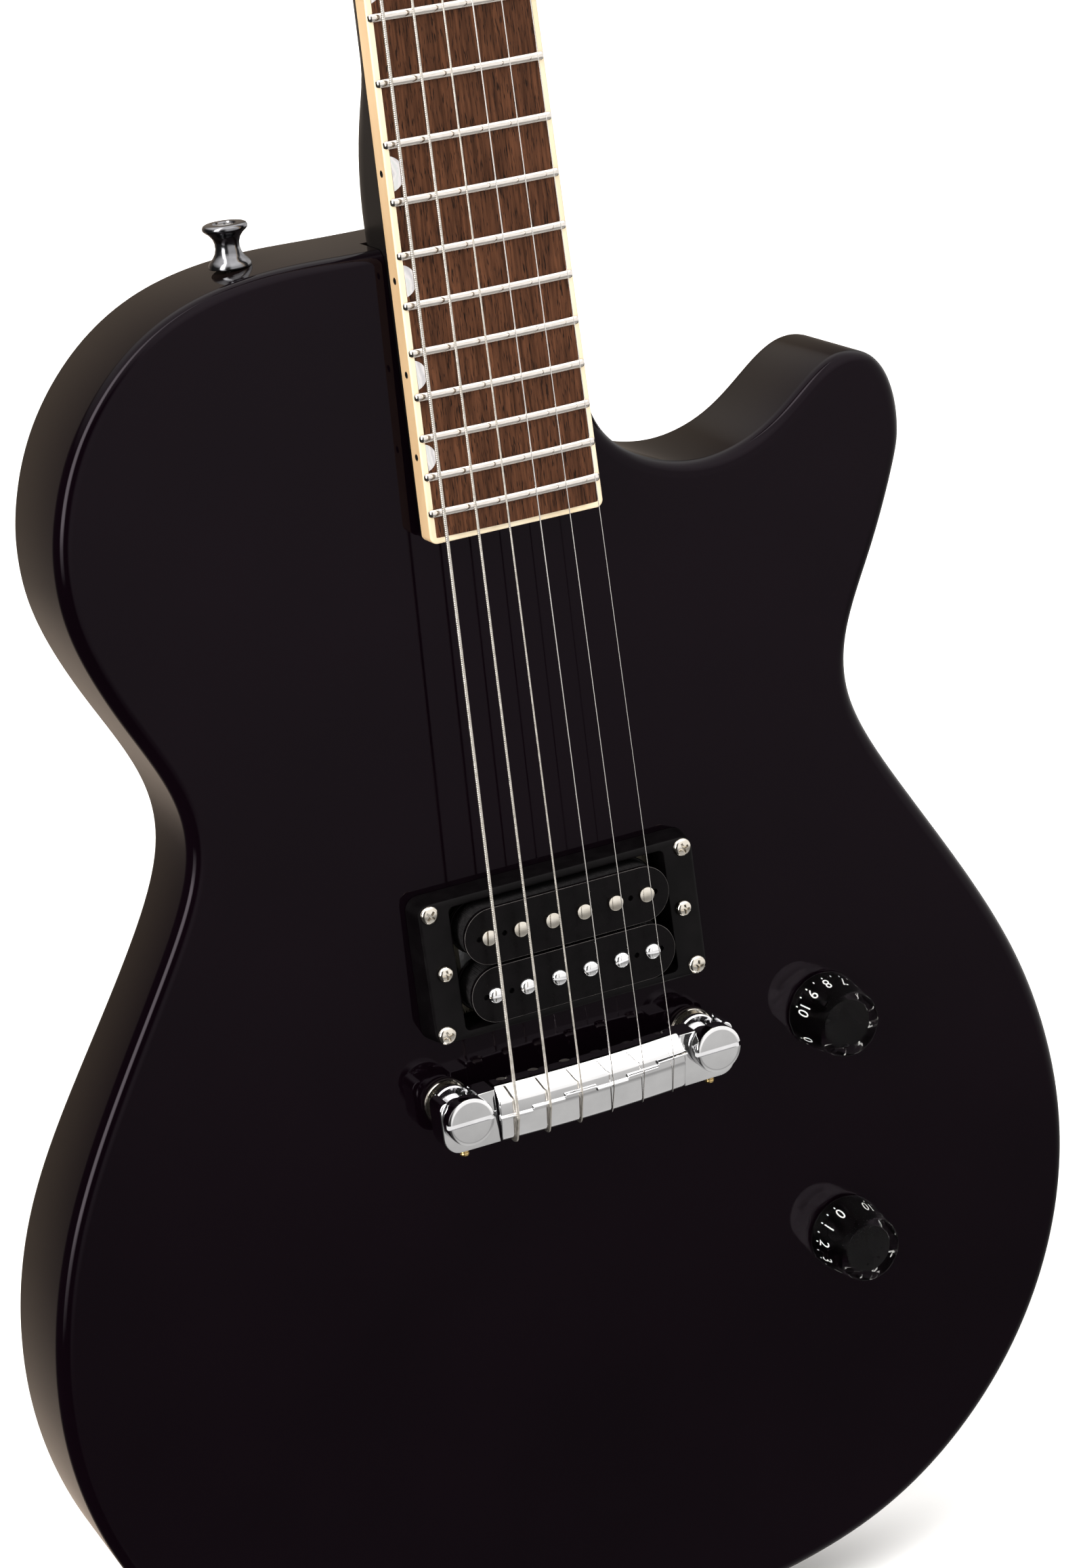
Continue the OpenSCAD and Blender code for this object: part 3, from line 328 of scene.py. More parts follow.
def ramp(tree, value, stops):
    """Colours at places from 0 to 1."""
    out = add_node(tree, "ValToRGB", {0: value})
    for k, (place, colour) in enumerate(stops):
        stop = out.color_ramp.elements[k] if k < 2 else out.color_ramp.elements.new(place)
        stop.position, stop.color = place, (*colour, 1)
    return out.outputs[0]


def spread(tree, value, low, high, start=0.35, end=0.65):
    """The value, moved from the range start to end into the range low to high."""
    limits = {"From Min": start, "From Max": end, "To Min": low, "To Max": high}
    return add_node(tree, "MapRange", {"Value": value, **limits}).outputs[0]


def finish(name, dark, light, size, rough, bump=None, stretch=(1, 1, 1), metal=0.0, shine=0.5, **sockets):
    """A material whose colour drifts between two colours and whose roughness drifts between two values.
    bump is (feature size, height), in millimetres, and shine is the specular level."""
    material = bpy.data.materials.new(name)
    material.use_nodes = True
    tree = material.node_tree
    shader = tree.nodes["Principled BSDF"]
    for key, value in {"Metallic": metal, "Specular IOR Level": shine, **sockets}.items():
        shader.inputs[key.replace("_", " ")].default_value = value
    tone = grain(tree, size, stretch)
    tree.links.new(ramp(tree, tone, [(0.3, dark), (0.7, light)]), shader.inputs["Base Color"])
    wear = grain(tree, size * 0.37, stretch, 5)
    tree.links.new(spread(tree, wear, *rough), shader.inputs["Roughness"])
    if bump:
        relief(tree, grain(tree, bump[0], stretch), bump[1])
    return material


def relief(tree, value, height):
    """Adds a bump of that height in millimetres, on top of any that is there."""
    bump = add_node(tree, "Bump", {"Distance": height / 1000, "Height": value})
    normal = tree.nodes["Principled BSDF"].inputs["Normal"]
    if normal.links:
        tree.links.new(normal.links[0].from_socket, bump.inputs["Normal"])
    tree.links.new(bump.outputs[0], normal)


def veneer(tree, share, colour):
    """Lays a colour over the base colour, as much as the share says."""
    base = tree.nodes["Principled BSDF"].inputs["Base Color"]
    under = base.links[0].from_socket
    mix = add_node(tree, "Mix", {"Factor": share, "A": under, "B": (*colour, 1)}, data_type="RGBA")
    tree.links.new(mix.outputs["Result"], base)


def metal(name, dark, light, size, rough, bump=None, stretch=(1, 1, 1)):
    return finish(name, dark, light, size, rough, bump, stretch, 1.0)


def lacquer():
    """Deep black gloss, with a painted sheen on the side: a browner, lighter band towards the back edge in place of a
    reflection.
    """
    gloss = finish("black_lacquer", (0.0013, 0.0005, 0.0011), (0.0018, 0.0007, 0.0015), 60, (0.04, 0.075), (7, 0.004),
                   shine=0.095, Specular_Tint=(1, 0.87, 1, 1))
    tree = gloss.node_tree
    # Painted sheen: a browner tone laid over the side by depth, rising towards the back edge and fading at its
    # rounding.
    y = add_node(tree, "SeparateXYZ", {0: own_place(tree)}).outputs["Y"]
    depth = spread(tree, y, 0, 1, -BODY_T / 2000, BODY_T / 2000)
    share = ramp(tree, depth, [(p, (v, v, v)) for p, v in ((0.1, 0), (0.88, 0.87), (0.975, 0))])
    veneer(tree, share, (0.013, 0.0095, 0.007))
    return gloss


def rosewood():
    """Long dark grain with fine open pores."""
    wood = finish("rosewood", (0.026, 0.0095, 0.0042), (0.094, 0.036, 0.0165), 0.8, (0.4, 0.6), stretch=(1, 1, 0.05),
                  shine=0.07)
    tree = wood.node_tree
    pores = spread(tree, grain(tree, 0.34, (1, 1, 0.09), 2), 0, 0.9, 0.58, 0.66)
    streaks = spread(tree, grain(tree, 5, (1, 1, 0.03), 4), 0, 0.5, 0.45, 0.68)
    veneer(tree, streaks, (0.022, 0.0085, 0.0045))
    veneer(tree, pores, (0.006, 0.003, 0.002))
    relief(tree, spread(tree, pores, 1, 0, 0, 1), 0.06)
    return wood


def pearl():
    """Swirled shell in milky greys with a pink and green cast."""
    shell = finish("pearl", (0.42, 0.40, 0.41), (0.86, 0.85, 0.86), 4, (0.16, 0.3), shine=0.3)
    tree = shell.node_tree
    waves = add_node(tree, "TexWave", {"Vector": own_place(tree), "Scale": 110, "Distortion": 9})
    stops = [(0.0, (0.36, 0.35, 0.36)), (0.35, (0.45, 0.44, 0.44)), (0.6, (0.49, 0.465, 0.47)),
             (1.0, (0.42, 0.43, 0.425))]
    tree.links.new(ramp(tree, waves.outputs["Fac"], stops), tree.nodes["Principled BSDF"].inputs["Base Color"])
    return shell


def woven_tape():
    """Black cloth tape with crossing threads."""
    tape = finish("coil_tape", (0.003, 0.0027, 0.003), (0.011, 0.01, 0.0105), 1.2, (0.75, 0.95), shine=0.15)
    tree = tape.node_tree
    for axis in ("X", "Z"):
        threads = add_node(tree, "TexWave", {"Vector": own_place(tree), "Scale": 700}, bands_direction=axis)
        relief(tree, threads.outputs["Fac"], 0.08)
    return tape


LACQUER_AND_PAINTED_SHEEN, ROSEWOOD, PEARL, TAPE = lacquer(), rosewood(), pearl(), woven_tape()
CLEAR = finish("clear_plastic", (0.97, 0.97, 0.97), (1, 1, 1), 20, (0.01, 0.03), shine=0.05, IOR=1.17,
               Transmission_Weight=1, Specular_Tint=(0.05, 0.05, 0.05, 1))
NECK_BLACK = finish("neck_black", (0.0022, 0.0019, 0.002), (0.0042, 0.0037, 0.0038), 25, (0.16, 0.26), (9, 0.008),
                    shine=0.22)
# One cream binding in two copies: the side darker and more orange as painted shade, the top lighter as painted light.
CREAM_SHADED_SIDE = finish("binding_painted_shade_side", (0.44, 0.285, 0.145), (0.555, 0.39, 0.225), 14, (0.28, 0.42), (2, 0.006),
                    (1, 1, 0.2))
CREAM_LIT_TOP = finish("binding_painted_light_top", (0.56, 0.45, 0.29), (0.67, 0.58, 0.42), 9, (0.3, 0.45), (2, 0.006), (1, 1, 0.2))
BONE = finish("bone", (0.70, 0.64, 0.52), (0.86, 0.82, 0.72), 1.6, (0.3, 0.48), (0.5, 0.01), (1, 0.2, 1))
CHROME = metal("chrome", (0.78, 0.78, 0.79), (0.86, 0.86, 0.87), 8, (0.04, 0.09), (3, 0.001))
NICKEL = metal("nickel", (0.66, 0.61, 0.53), (0.80, 0.755, 0.68), 3, (0.09, 0.18), (0.6, 0.003))
FRET_METAL = metal("fret_metal", (0.70, 0.645, 0.59), (0.82, 0.77, 0.72), 2, (0.08, 0.18), (0.5, 0.003), (1, 1, 5))
STEEL = metal("steel", (0.36, 0.36, 0.37), (0.52, 0.52, 0.53), 2, (0.28, 0.45), (0.4, 0.01))
WOUND = metal("wound_string", (0.57, 0.53, 0.47), (0.77, 0.73, 0.67), 1.5, (0.28, 0.45))
PLAIN = metal("plain_string", (0.70, 0.67, 0.64), (0.84, 0.81, 0.78), 4, (0.14, 0.24), stretch=(1, 1, 0.1))
HARDWARE = metal("black_hardware", (0.035, 0.035, 0.038), (0.07, 0.07, 0.074), 6, (0.14, 0.28), (1, 0.003))
SMOKED = metal("dark_chrome", (0.16, 0.16, 0.17), (0.24, 0.24, 0.255), 5, (0.1, 0.2), (1, 0.002))
BRASS = metal("brass", (0.45, 0.31, 0.12), (0.66, 0.5, 0.24), 3, (0.25, 0.42), (0.6, 0.006))
# Nickel silver darkened far below its own tone: painted shade for the baseplate down in the pickup cavity.
SHADED_SILVER = metal("nickel_silver", (0.10, 0.09, 0.068), (0.16, 0.146, 0.115), 4, (0.25, 0.42), (0.8, 0.006), (4, 1, 1))
TIN = metal("pot_metal", (0.40, 0.41, 0.41), (0.56, 0.57, 0.57), 3, (0.3, 0.5), (0.7, 0.01))
COPPER = metal("coil_wire", (0.26, 0.09, 0.04), (0.46, 0.18, 0.09), 1, (0.3, 0.5), (0.12, 0.02), (0.1, 1, 1))
DULL = 0.09
DOT = finish("dot_black", (0.002, 0.002, 0.002), (0.005, 0.0045, 0.0045), 1, (0.6, 0.8), shine=DULL)
GLOSS = finish("gloss_plastic", (0.0013, 0.001, 0.0012), (0.0026, 0.0021, 0.0024), 18, (0.1, 0.2), (4, 0.004),
               shine=DULL)
RING_PLASTIC = finish("ring_plastic", (0.0012, 0.0009, 0.0011), (0.0024, 0.0019, 0.0022), 7, (0.3, 0.45),
                      (0.45, 0.012), shine=DULL)
BOBBIN_PLASTIC = finish("bobbin_plastic", (0.001, 0.0007, 0.0009), (0.002, 0.0015, 0.0018), 5, (0.24, 0.36),
                        (0.35, 0.008), shine=DULL)
# Lighter grey for the bobbins' top edges: a painted highlight.
EDGE_PAINTED_HIGHLIGHT = finish("painted_edge_highlight", (0.03, 0.027, 0.027), (0.07, 0.064, 0.062), 2, (0.3, 0.5), shine=DULL)
KNOB_BLACK = finish("knob_black", (0.0008, 0.0006, 0.0007), (0.0016, 0.0012, 0.0015), 18, (0.1, 0.2), (4, 0.004),
                    shine=0.03)
PRINT = finish("white_print", (0.62, 0.62, 0.6), (0.82, 0.82, 0.8), 1.2, (0.5, 0.7))
GREEN = finish("capacitor", (0.02, 0.13, 0.05), (0.04, 0.2, 0.085), 3, (0.22, 0.36), (1.5, 0.02))


# ---- body and neck ----
LOWER_SIDE = [(46, 2), (88, 10.5), (121.5, 29.5), (147.5, 57), (164.3, 90), (171.3, 125), (169, 160), (159, 195),
              (141, 230), (121.5, 263), (108.5, 290), (109.5, 313), (121, 337), (130.5, 361)]
SHOULDER = [(-132.8, 380), (-130.6, 397), (-122.5, 417.5), (-106, 437), (-84, 449.5), (-58, 454), (-35, 454)]
TONGUE = [(-10, 454), (14, 454), (26, 450), (30, 438), (30.5, 421), (31, 404)]
HORN = [(36, 389), (49, 379), (68, 374.7), (88, 380), (104, 392), (116, 397.4), (127, 394), (132.3, 383), (132.8, 371)]
HEAD_HALF = [(22, 2), (23, 12), (28, 25), (35, 40), (38.5, 60), (39.5, 90), (41, 120), (42.5, 145), (38, 158),
             (24, 161), (10, 166)]
NECK_SCREWS = [(x, y) for x in (-18, 18) for y in (-25, 25)]
COVER_SCREWS = [(KNOB_X, VOLUME_Z + 29.8), (KNOB_X, TONE_Z - 29.8), (KNOB_X - 29.8, VOLUME_Z), (KNOB_X + 29.8, TONE_Z)]


def ease(u):
    w = np.clip(u, 0, 1)
    return w * w * (3 - 2 * w)


def scoop(p, inner):
    """Height of the comfort scoop on the back, at points p of the ring that far in."""
    u = (p[:, 1] - SCOOP_Y) / SCOOP_HALF
    bump = np.where(np.abs(u) < 1, 0.5 + 0.5 * np.cos(np.pi * u), 0)
    return SCOOP_DEPTH * bump * ease((-p[:, 0] - SCOOP_X) / SCOOP_RUN) * (1 - ease(inner / 0.6))


def body_form():
    points = [(0, 0)] + [(-x, y) for x, y in LOWER_SIDE] + SHOULDER + TONGUE + HORN + LOWER_SIDE[::-1]
    loop = smooth_loop(points, 10)
    turns = np.linspace(0, math.pi / 2, 10)
    rings = []
    for a in turns[::-1]:
        p = inset(loop, EDGE_FRONT * (1 - math.cos(a)))
        rings.append(np.column_stack([p, np.full(len(p), -EDGE_FRONT * (1 - math.sin(a)))]))
    for a in turns:
        p = inset(loop, EDGE_BACK * (1 - math.cos(a)))
        rings.append(np.column_stack([p, -BODY_T + scoop(p, 0) + EDGE_BACK * (1 - math.sin(a))]))
    flat = inset(loop, EDGE_BACK)
    spine = np.column_stack([np.zeros(len(flat)), np.clip(flat[:, 1], 150, 320)])
    for share in np.linspace(0.04, 0.65, 14):
        p = flat + share * (spine - flat)
        rings.append(np.column_stack([p, -BODY_T + scoop(p, share)]))
    return Form().loft(rings)


def make_body():
    pocket = Form().slab(rounded_rect(52.4, 121, 3), -HEEL_T - 0.01, -HEEL_T + 30, 0, NECK @ move(0, -401.1))
    coils = Form().slab(rounded_rect(72, 39, 3), -19, 5, 0, move(0, PICKUP_Z))
    ears = Form().slab(rounded_rect(87, 22, 3), -18.9, 5, 0, move(0, PICKUP_Z))
    controls = Form().slab(stadium(27), -BODY_T - 3, -7, 0)
    recess = Form().slab(stadium(33.3), -BODY_T - 4, -BODY_T + 2.2, 0)
    bore = Form().lathe([(10.5, -62), (10.5, 8)], JACK)
    seat = Form().lathe([(15.3, -1.8), (15.3, 12)], JACK)
    form = carve(body_form(), pocket, coils, ears, controls, recess, bore, seat)
    piece("body_shell", form, "guitar", LACQUER_AND_PAINTED_SHEEN, "body", sharp=30)


def half_width(y):
    return (NUT_W - BOARD_FLARE * y) / 2


def crown_top(x):
    return BOARD_T - CROWN + np.sqrt(CROWN**2 - np.square(x))


def back_section(w, d, power, steps=44):
    """Flat on top and rounded below: an ellipse at power 2, squarer above it."""
    t = np.linspace(0, math.pi, steps + 1)
    x = np.sign(np.cos(t)) * np.abs(np.cos(t)) ** (2 / power) * w / 2
    return np.column_stack([x, -d * np.abs(np.sin(t)) ** (2 / power)])


def make_neck():
    rings = []
    for y in [-461, -460.6, -460, -440, -400, *np.linspace(-380, -322, 16), *np.linspace(-300, -1, 24)]:
        blend = float(ease((-y - HEEL_START) / HEEL_RUN))
        width = 2 * half_width(y) * (1 - blend) + HEEL_W * blend
        depth = (GRIP_T + 1.5 * min(1, -y / 325)) * (1 - blend) + HEEL_T * blend
        trim = 0.5 if y == -461 else 0.15 if y == -460.6 else 0
        section = back_section(width - 2 * trim, depth - trim, 2 + 7 * blend)
        rings.append([NECK @ Vector((x, y, z)) for x, z in section])
    grip = back_section(NUT_W, GRIP_T, 2)
    slope = back_section(41, HEAD_T - 0.6, 5)
    for u in np.linspace(0.12, 1, 9):
        share = float(ease(u))
        place = HEAD @ move(0, -NUT_LEN - 1 + 18 * u, -0.3 * share)
        section = [((1 - share) * a + share * c, (1 - share) * b + share * d) for (a, b), (c, d) in zip(grip, slope)]
        rings.append([place @ Vector((x, 0, z)) for x, z in section])
    form = Form().loft(rings)
    half = HEAD_HALF + [(0, 167)] + [(-x, y) for x, y in HEAD_HALF[::-1]] + [(-8, 0), (8, 0)]
    form.slab(smooth_loop(half, 12), -HEAD_T, 0, 1.8, HEAD)
    piece("neck_wood", form, "guitar", NECK_BLACK, "neck")


def fret_y(n):
    return -SCALE * (1 - 2 ** (-n / 12))


def between(n):
    """Middle of the gap before fret n, and its length."""
    return (fret_y(n) + fret_y(n - 1)) / 2, fret_y(n - 1) - fret_y(n)


def make_fingerboard():
    rings = []
    for y in np.linspace(0, -BOARD_LEN + BINDING, 30):
        x = np.linspace(half_width(y) - BINDING, -half_width(y) + BINDING, 25)
        top = [(a, y, crown_top(a)) for a in x]
        rings.append(top + [(x[-1], y, 0), (x[0], y, 0)])
    piece("fingerboard_wood", Form().loft(rings, NECK), "guitar", ROSEWOOD, "fingerboard")


def make_binding():
    """A strip round the sides and the bound end, with rounded corners."""
    end, r = half_width(-BOARD_LEN), 2.2
    side = [(-half_width(y), y) for y in np.linspace(0, -BOARD_LEN + r, 30)]
    path = side + arc(-end + r, -BOARD_LEN + r, r, 180, 270, 8)[1:] + arc(end - r, -BOARD_LEN + r, r, 270, 360, 8)
    path = np.array(path + [(-x, y) for x, y in side[::-1]][1:])
    t = unit(np.gradient(path, axis=0))
    inward = np.column_stack([-t[:, 1], t[:, 0]])
    edge = 0.6
    corner = [(edge * (1 - math.cos(a)), edge * (1 - math.sin(a)), 1) for a in (0.4, 0.8, 1.2)]
    section = [(0, 0, 0), (0, edge, 1), *corner, (edge, 0, 1), (1.2, 0, 1), (BINDING, 0, 1), (BINDING, 0, 0)]
    rings = []
    for p, n in zip(path, inward):
        ring = []
        for d, drop, up in section:
            q = p + d * n
            ring.append((*q, up * (crown_top(q[0]) + 0.01) - drop * up))
        rings.append(ring)
    # Side faces take the painted-shade copy, top and corner faces the painted-light copy.
    paint = [0, 0, 1, 1, 1, 1, 1, 1, 0]
    form = Form().loft(rings, NECK, paint)
    piece("binding_strip", form, "guitar", [CREAM_SHADED_SIDE, CREAM_LIT_TOP], "fingerboard_binding", sharp=50)


def make_frets():
    form = Form()
    around = np.linspace(0, math.pi, 11)
    for n in range(1, FRETS + 1):
        half = half_width(fret_y(n)) - 0.3
        ends = 1.3 * (1 - np.cos(np.linspace(0, math.pi / 2, 7)))
        xs = [*(-half + ends), *np.linspace(-half + 1.4, half - 1.4, 15), *(half - ends[::-1])]
        rings = []
        for x in xs:
            rise = math.sqrt(max(0, 1 - max(0, (abs(x) - half + 1.3) / 1.3) ** 2))
            w, h = FRET_W / 2 * (0.35 + 0.65 * rise), FRET_H * rise + 0.02
            top = crown_top(x)
            crest = [(x, fret_y(n) + w * math.cos(a), top - 0.02 + h * math.sin(a) ** 0.8) for a in around]
            rings.append(crest + [(x, fret_y(n) - 0.3, top - 0.5), (x, fret_y(n) + 0.3, top - 0.5)])
        form.loft(rings, NECK)
    piece("fret_wires", form, "guitar", FRET_METAL, "frets", sharp=60)


def make_inlays():
    form, dots = Form(), Form()
    for n in INLAY_FRETS:
        y, gap = between(n)
        chord = 0.42 * gap + 3
        depth = 0.36 * chord
        r = (chord**2 / 4 + depth**2) / (2 * depth)
        a = math.degrees(math.asin(chord / 2 / r))
        x0 = -half_width(y) + BINDING + BOARD_FLARE * chord / 4 + 0.02
        outline = arc(x0 + depth - r, y, r, -a, a, 28)
        levels = [(0, -0.6), (0, 0), (0.06, 0.02)]
        form.loft([[(px, py, crown_top(px) + dz) for px, py in inset(outline, d)] for d, dz in levels], NECK)
        for shift in (-3, 3) if n == 12 else (0,):
            place = NECK @ move(-half_width(y), y + shift, 3.4) @ turn(-90, "Y")
            dots.lathe([(1.0, -0.6), (1.0, 0.04), (0.93, 0.08), (0.5, 0.1), (0.05, 0.1)], place, steps=28)
    piece("shell_inlays", form, "guitar", PEARL, "inlays")
    piece("side_markers", dots, "guitar", DOT, "side_dots")


def nut_point(i):
    x = across(i, NUT_SPREAD)
    return NECK @ Vector((x, 0, crown_top(x) + FRET_H + 0.55 + STRING_D[i] / 2))


def make_nut():
    half = NUT_W / 2
    slots = [(across(i, NUT_SPREAD), STRING_D[i] / 2 + 0.06) for i in range(6)]
    xs = set(np.linspace(-half + 0.6, half - 0.6, 40)) | {side * (half - d) for side in (-1, 1) for d in (0.02, 0.2)}
    xs |= {centre + r * k for centre, r in slots for k in (-1.05, -1, -0.8, -0.5, 0, 0.5, 0.8, 1, 1.05)}
    rings = []
    for x in sorted(xs):
        z = crown_top(x) + 2.2 - 0.5 * max(0, 1 - (half - abs(x)) / 0.6) ** 2
        for centre, r in slots:
            if abs(x - centre) <= r:
                z -= 0.15 + 0.4 * math.sqrt(1 - ((x - centre) / r) ** 2)
        section = [(0.02, 0), (0.02, z - 0.5), (0.16, z - 0.14), (0.5, z), (3.9, z - 0.15), (4.6, z - 0.5),
                   (4.88, z - 1.2), (4.88, 0)]
        rings.append([(x, y, h) for y, h in section])
    piece("nut_block", Form().loft(rings, NECK), "guitar", BONE, "nut", sharp=30)


# ---- screws ----
def cross_head(radius, height, slots=2, width=0.6, depth=0.8):
    """A domed screw head with a recess: a cross, or one slot when slots is 1."""
    dome = [(radius * 0.93, 0), (radius, height * 0.18), (radius * 0.97, height * 0.42), (radius * 0.86, height * 0.68),
            (radius * 0.66, height * 0.86), (radius * 0.36, height * 0.97), (0.05, height)]
    reach = radius * (1.15 if slots == 2 else 2.4)
    bar = rounded_rect(reach, width, 0.05, 1)
    bars = [Form().slab(bar, height - depth, height + 1, 0, turn(90 * k, "Z")) for k in range(slots)]
    return carve(Form().lathe(dome, steps=40), *bars)


def thread(radius, z0, z1, pitch=0.8, depth=0.18):
    """A threaded shank, as rings that swell once a turn."""
    profile = []
    for k in range(int((z1 - z0) / pitch)):
        z = z0 + k * pitch
        profile += [(radius - depth, z), (radius, z + pitch / 2)]
    return Form().lathe(profile + [(radius - depth, z1)], steps=24)


def screw(radius, height, shank, length, **recess):
    """A screw with the underside of its head at z = 0."""
    return cross_head(radius, height, **recess).add(thread(shank, -length, 0.05))


# ---- strings ----
BALL = [(0.9, -1.6), (1.7, -1.5), (1.9, -1.1), (1.5, -0.6), (1.35, 0), (1.5, 0.6), (1.9, 1.1), (1.7, 1.5), (0.9, 1.6)]
BALL_H, BAR_TAIL, WOUND_COUNT, WIND_PITCH, WIND_SIDES = 9, 11.45, 3, 0.56, 8
CROWN_Z = STRING_H - math.sqrt(BRIDGE_CROWN**2 - (STRING_SPREAD / 2) ** 2)


def saddle_point(i):
    x = across(i, STRING_SPREAD)
    return Vector((x, STUD_Z - SADDLE_BACK[i], CROWN_Z + math.sqrt(BRIDGE_CROWN**2 - x * x)))


def string_path(i):
    """Out of the bar, back over its crest, along the scale, over the nut and round the post."""
    d, s, n = STRING_D[i], saddle_point(i), nut_point(i)
    r, tail = d / 2, STUD_Z - BAR_TAIL
    edge, crest = Vector((s.x, tail + 1.5, s.z - 3.12 + r)), Vector((s.x, s.y - 0.9, s.z - 0.12))
    wrap = [(s.x, y, BALL_H) for y in (205.5, 196, 190.8)]
    wrap += [(s.x, tail + 0.6 - r, BALL_H + 0.25), (s.x, tail - r, 10.4), (s.x, tail - r, 12.6),
             (s.x, tail - r, s.z - 4.7), (s.x, tail + 0.35 - 0.6 * r, s.z - 3.85 + 0.8 * r)]
    wrap += [tuple(edge.lerp(crest, k)) for k in (0, 0.25, 0.5, 0.75, 1)] + [tuple(s)]
    thick = i < WOUND_COUNT
    span = n - s
    steps = max(2, int(span.length / (0.14 if thick else 20)))
    straight = [tuple(s + span * (k / steps)) for k in range(1, steps)]
    side, post = POST_SIDE[i], post_place(i)
    coil_r = POST_R + 0.05 + r
    start = math.pi if side > 0 else 0
    coil = []
    for k in range((2 if thick else 3) * 20 + 6):
        a = start - side * k * math.pi / 10
        z = WRAP_H - d * max(0, k - 2) / 20 * 1.02
        coil.append(tuple(HEAD @ Vector((post[0] + coil_r * math.cos(a), post[1] + coil_r * math.sin(a), z))))
    over = [tuple(n + NECK.to_3x3() @ Vector((0, y, z))) for y, z in ((0, 0), (3.5, -0.1), (5.4, -0.6))]
    head = smooth_path([*over, coil[0]], 10).tolist()[:-1]
    return np.array(smooth_path(wrap, 14).tolist() + straight + head + smooth_path(coil, 3).tolist())


def make_strings():
    for name, group, material in [("wound_strings", (0, 1, 2), WOUND), ("plain_strings", (3, 4, 5), PLAIN)]:
        form = Form()
        for i in group:
            path = string_path(i)
            radius = STRING_D[i] / 2
            if i < WOUND_COUNT:
                step = np.linalg.norm(np.diff(path, axis=0), axis=1)
                run = np.concatenate([[0], np.cumsum(step)])
                around = np.arange(WIND_SIDES)[None, :] * 2 * math.pi / WIND_SIDES
                radius = radius * (0.93 + 0.07 * np.cos(2 * math.pi * run[:, None] / WIND_PITCH - around))
            form.tube(path, radius, WIND_SIDES)
            form.lathe(BALL, move(path[0][0], STUD_Z + 4.4, BALL_H) @ turn(90, "X"), steps=28)
        piece(f"{name}_wire", form, "guitar", material, name, sharp=80, weighted=False)


# ---- bridge ----
def bar_point(x, y, drop):
    """A point of the crowned bar, that far below the string plane."""
    a = x / BRIDGE_CROWN
    r = BRIDGE_CROWN + drop
    return (r * math.sin(a), STUD_Z + y, CROWN_Z + r * math.cos(a))


def softened(corners, radius, steps=4):
    """A polygon with its corners rounded."""
    p = np.array(corners, float)
    out = []
    for k in range(len(p)):
        a, b, c = p[k - 1], p[k], p[(k + 1) % len(p)]
        before, after = np.linalg.norm(a - b), np.linalg.norm(c - b)
        u, v = (a - b) / before, (c - b) / after
        cut = min(radius, 0.45 * before, 0.45 * after)
        for t in np.linspace(0, 1, steps + 1):
            out.append((1 - t) ** 2 * (b + u * cut) + 2 * t * (1 - t) * b + t * t * (b + v * cut))
    return out


BAR = [(-11.4, -4.6), (-11.4, -9.6), (-9.6, -11.7), (4.8, -11.7), (6.6, -10.2), (6.6, -4.9), (2.4, -1.3), (-2.4, -1.3),
       (-10.2, -3.2)]


def make_bar():
    section = np.array(softened(BAR, 0.8))
    middle = section.mean(0)
    ends = [(31, 0.97), (30.9, 0.985), (30.6, 0.997)]
    places = [(-x, k) for x, k in ends] + [(x, 1) for x in np.linspace(-30, 30, 41)] + ends[::-1]
    bar = Form().loft([[bar_point(x, *(middle + (p - middle) * k)) for p in section] for x, k in places])
    hole = [(2.05, 0), (2.05, 5), (0.75, 5.4), (0.75, 20)]
    back = [move(saddle_point(i).x, STUD_Z + 7.5, BALL_H) @ turn(90, "X") for i in range(6)]
    form = carve(bar, *[Form().lathe(hole, at, steps=28) for at in back])
    for part in [*map(ledge, range(6)), ear(-1), ear(1)]:
        form.add(part)
    piece("bridge_casting", form, "guitar", CHROME, "bridge_bar", sharp=32)


def ledge(i):
    """One step of the compensated ridge."""
    mid, half, top = saddle_point(i).x, 5.15, -STRING_D[i] / 2
    section = softened([(-0.95, -2.2), (0.95, -2.2), (0.72, -1.2), (0.3, top), (-0.3, top), (-0.72, -1.2)], 0.2, 3)
    rings = []
    for side, inward, drop in [(-1, 0, 0.2), (-1, 0.06, 0.06), (-1, 0.2, 0), (1, 0.2, 0), (1, 0.06, 0.06), (1, 0, 0.2)]:
        x = mid + side * (half - inward)
        rings.append([bar_point(x, y - SADDLE_BACK[i], z - (drop if z > -2 else 0)) for y, z in section])
    return Form().loft(rings)


def ear(s):
    """The block at the end of the bar, notched round its stud."""
    inner, outer = -10.4, 7.6
    tail = [(inner, -11), *arc(outer - 5.5, -5.5, 5.5, 270, 360, 8)]
    front = [*arc(outer - 2.5, 3.3, 2.5, 0, 90, 6), (4.9, 5.8)]
    notch = [(4.9, 0.5), *arc(0, 0, 4.9, 0, -180, 14)[1:], (-4.9, 5.8)]
    outline = [(s * x, y) for x, y in tail + front + notch + [(inner, 5.8)]]
    block = Form().slab(outline, 6, 14.4, 0.45, stud_place(s))
    bore = Form().lathe([(1.62, 0), (1.62, 9)], stud_place(s, -4, 10) @ turn(90, "X"), steps=24)
    return carve(block, bore)


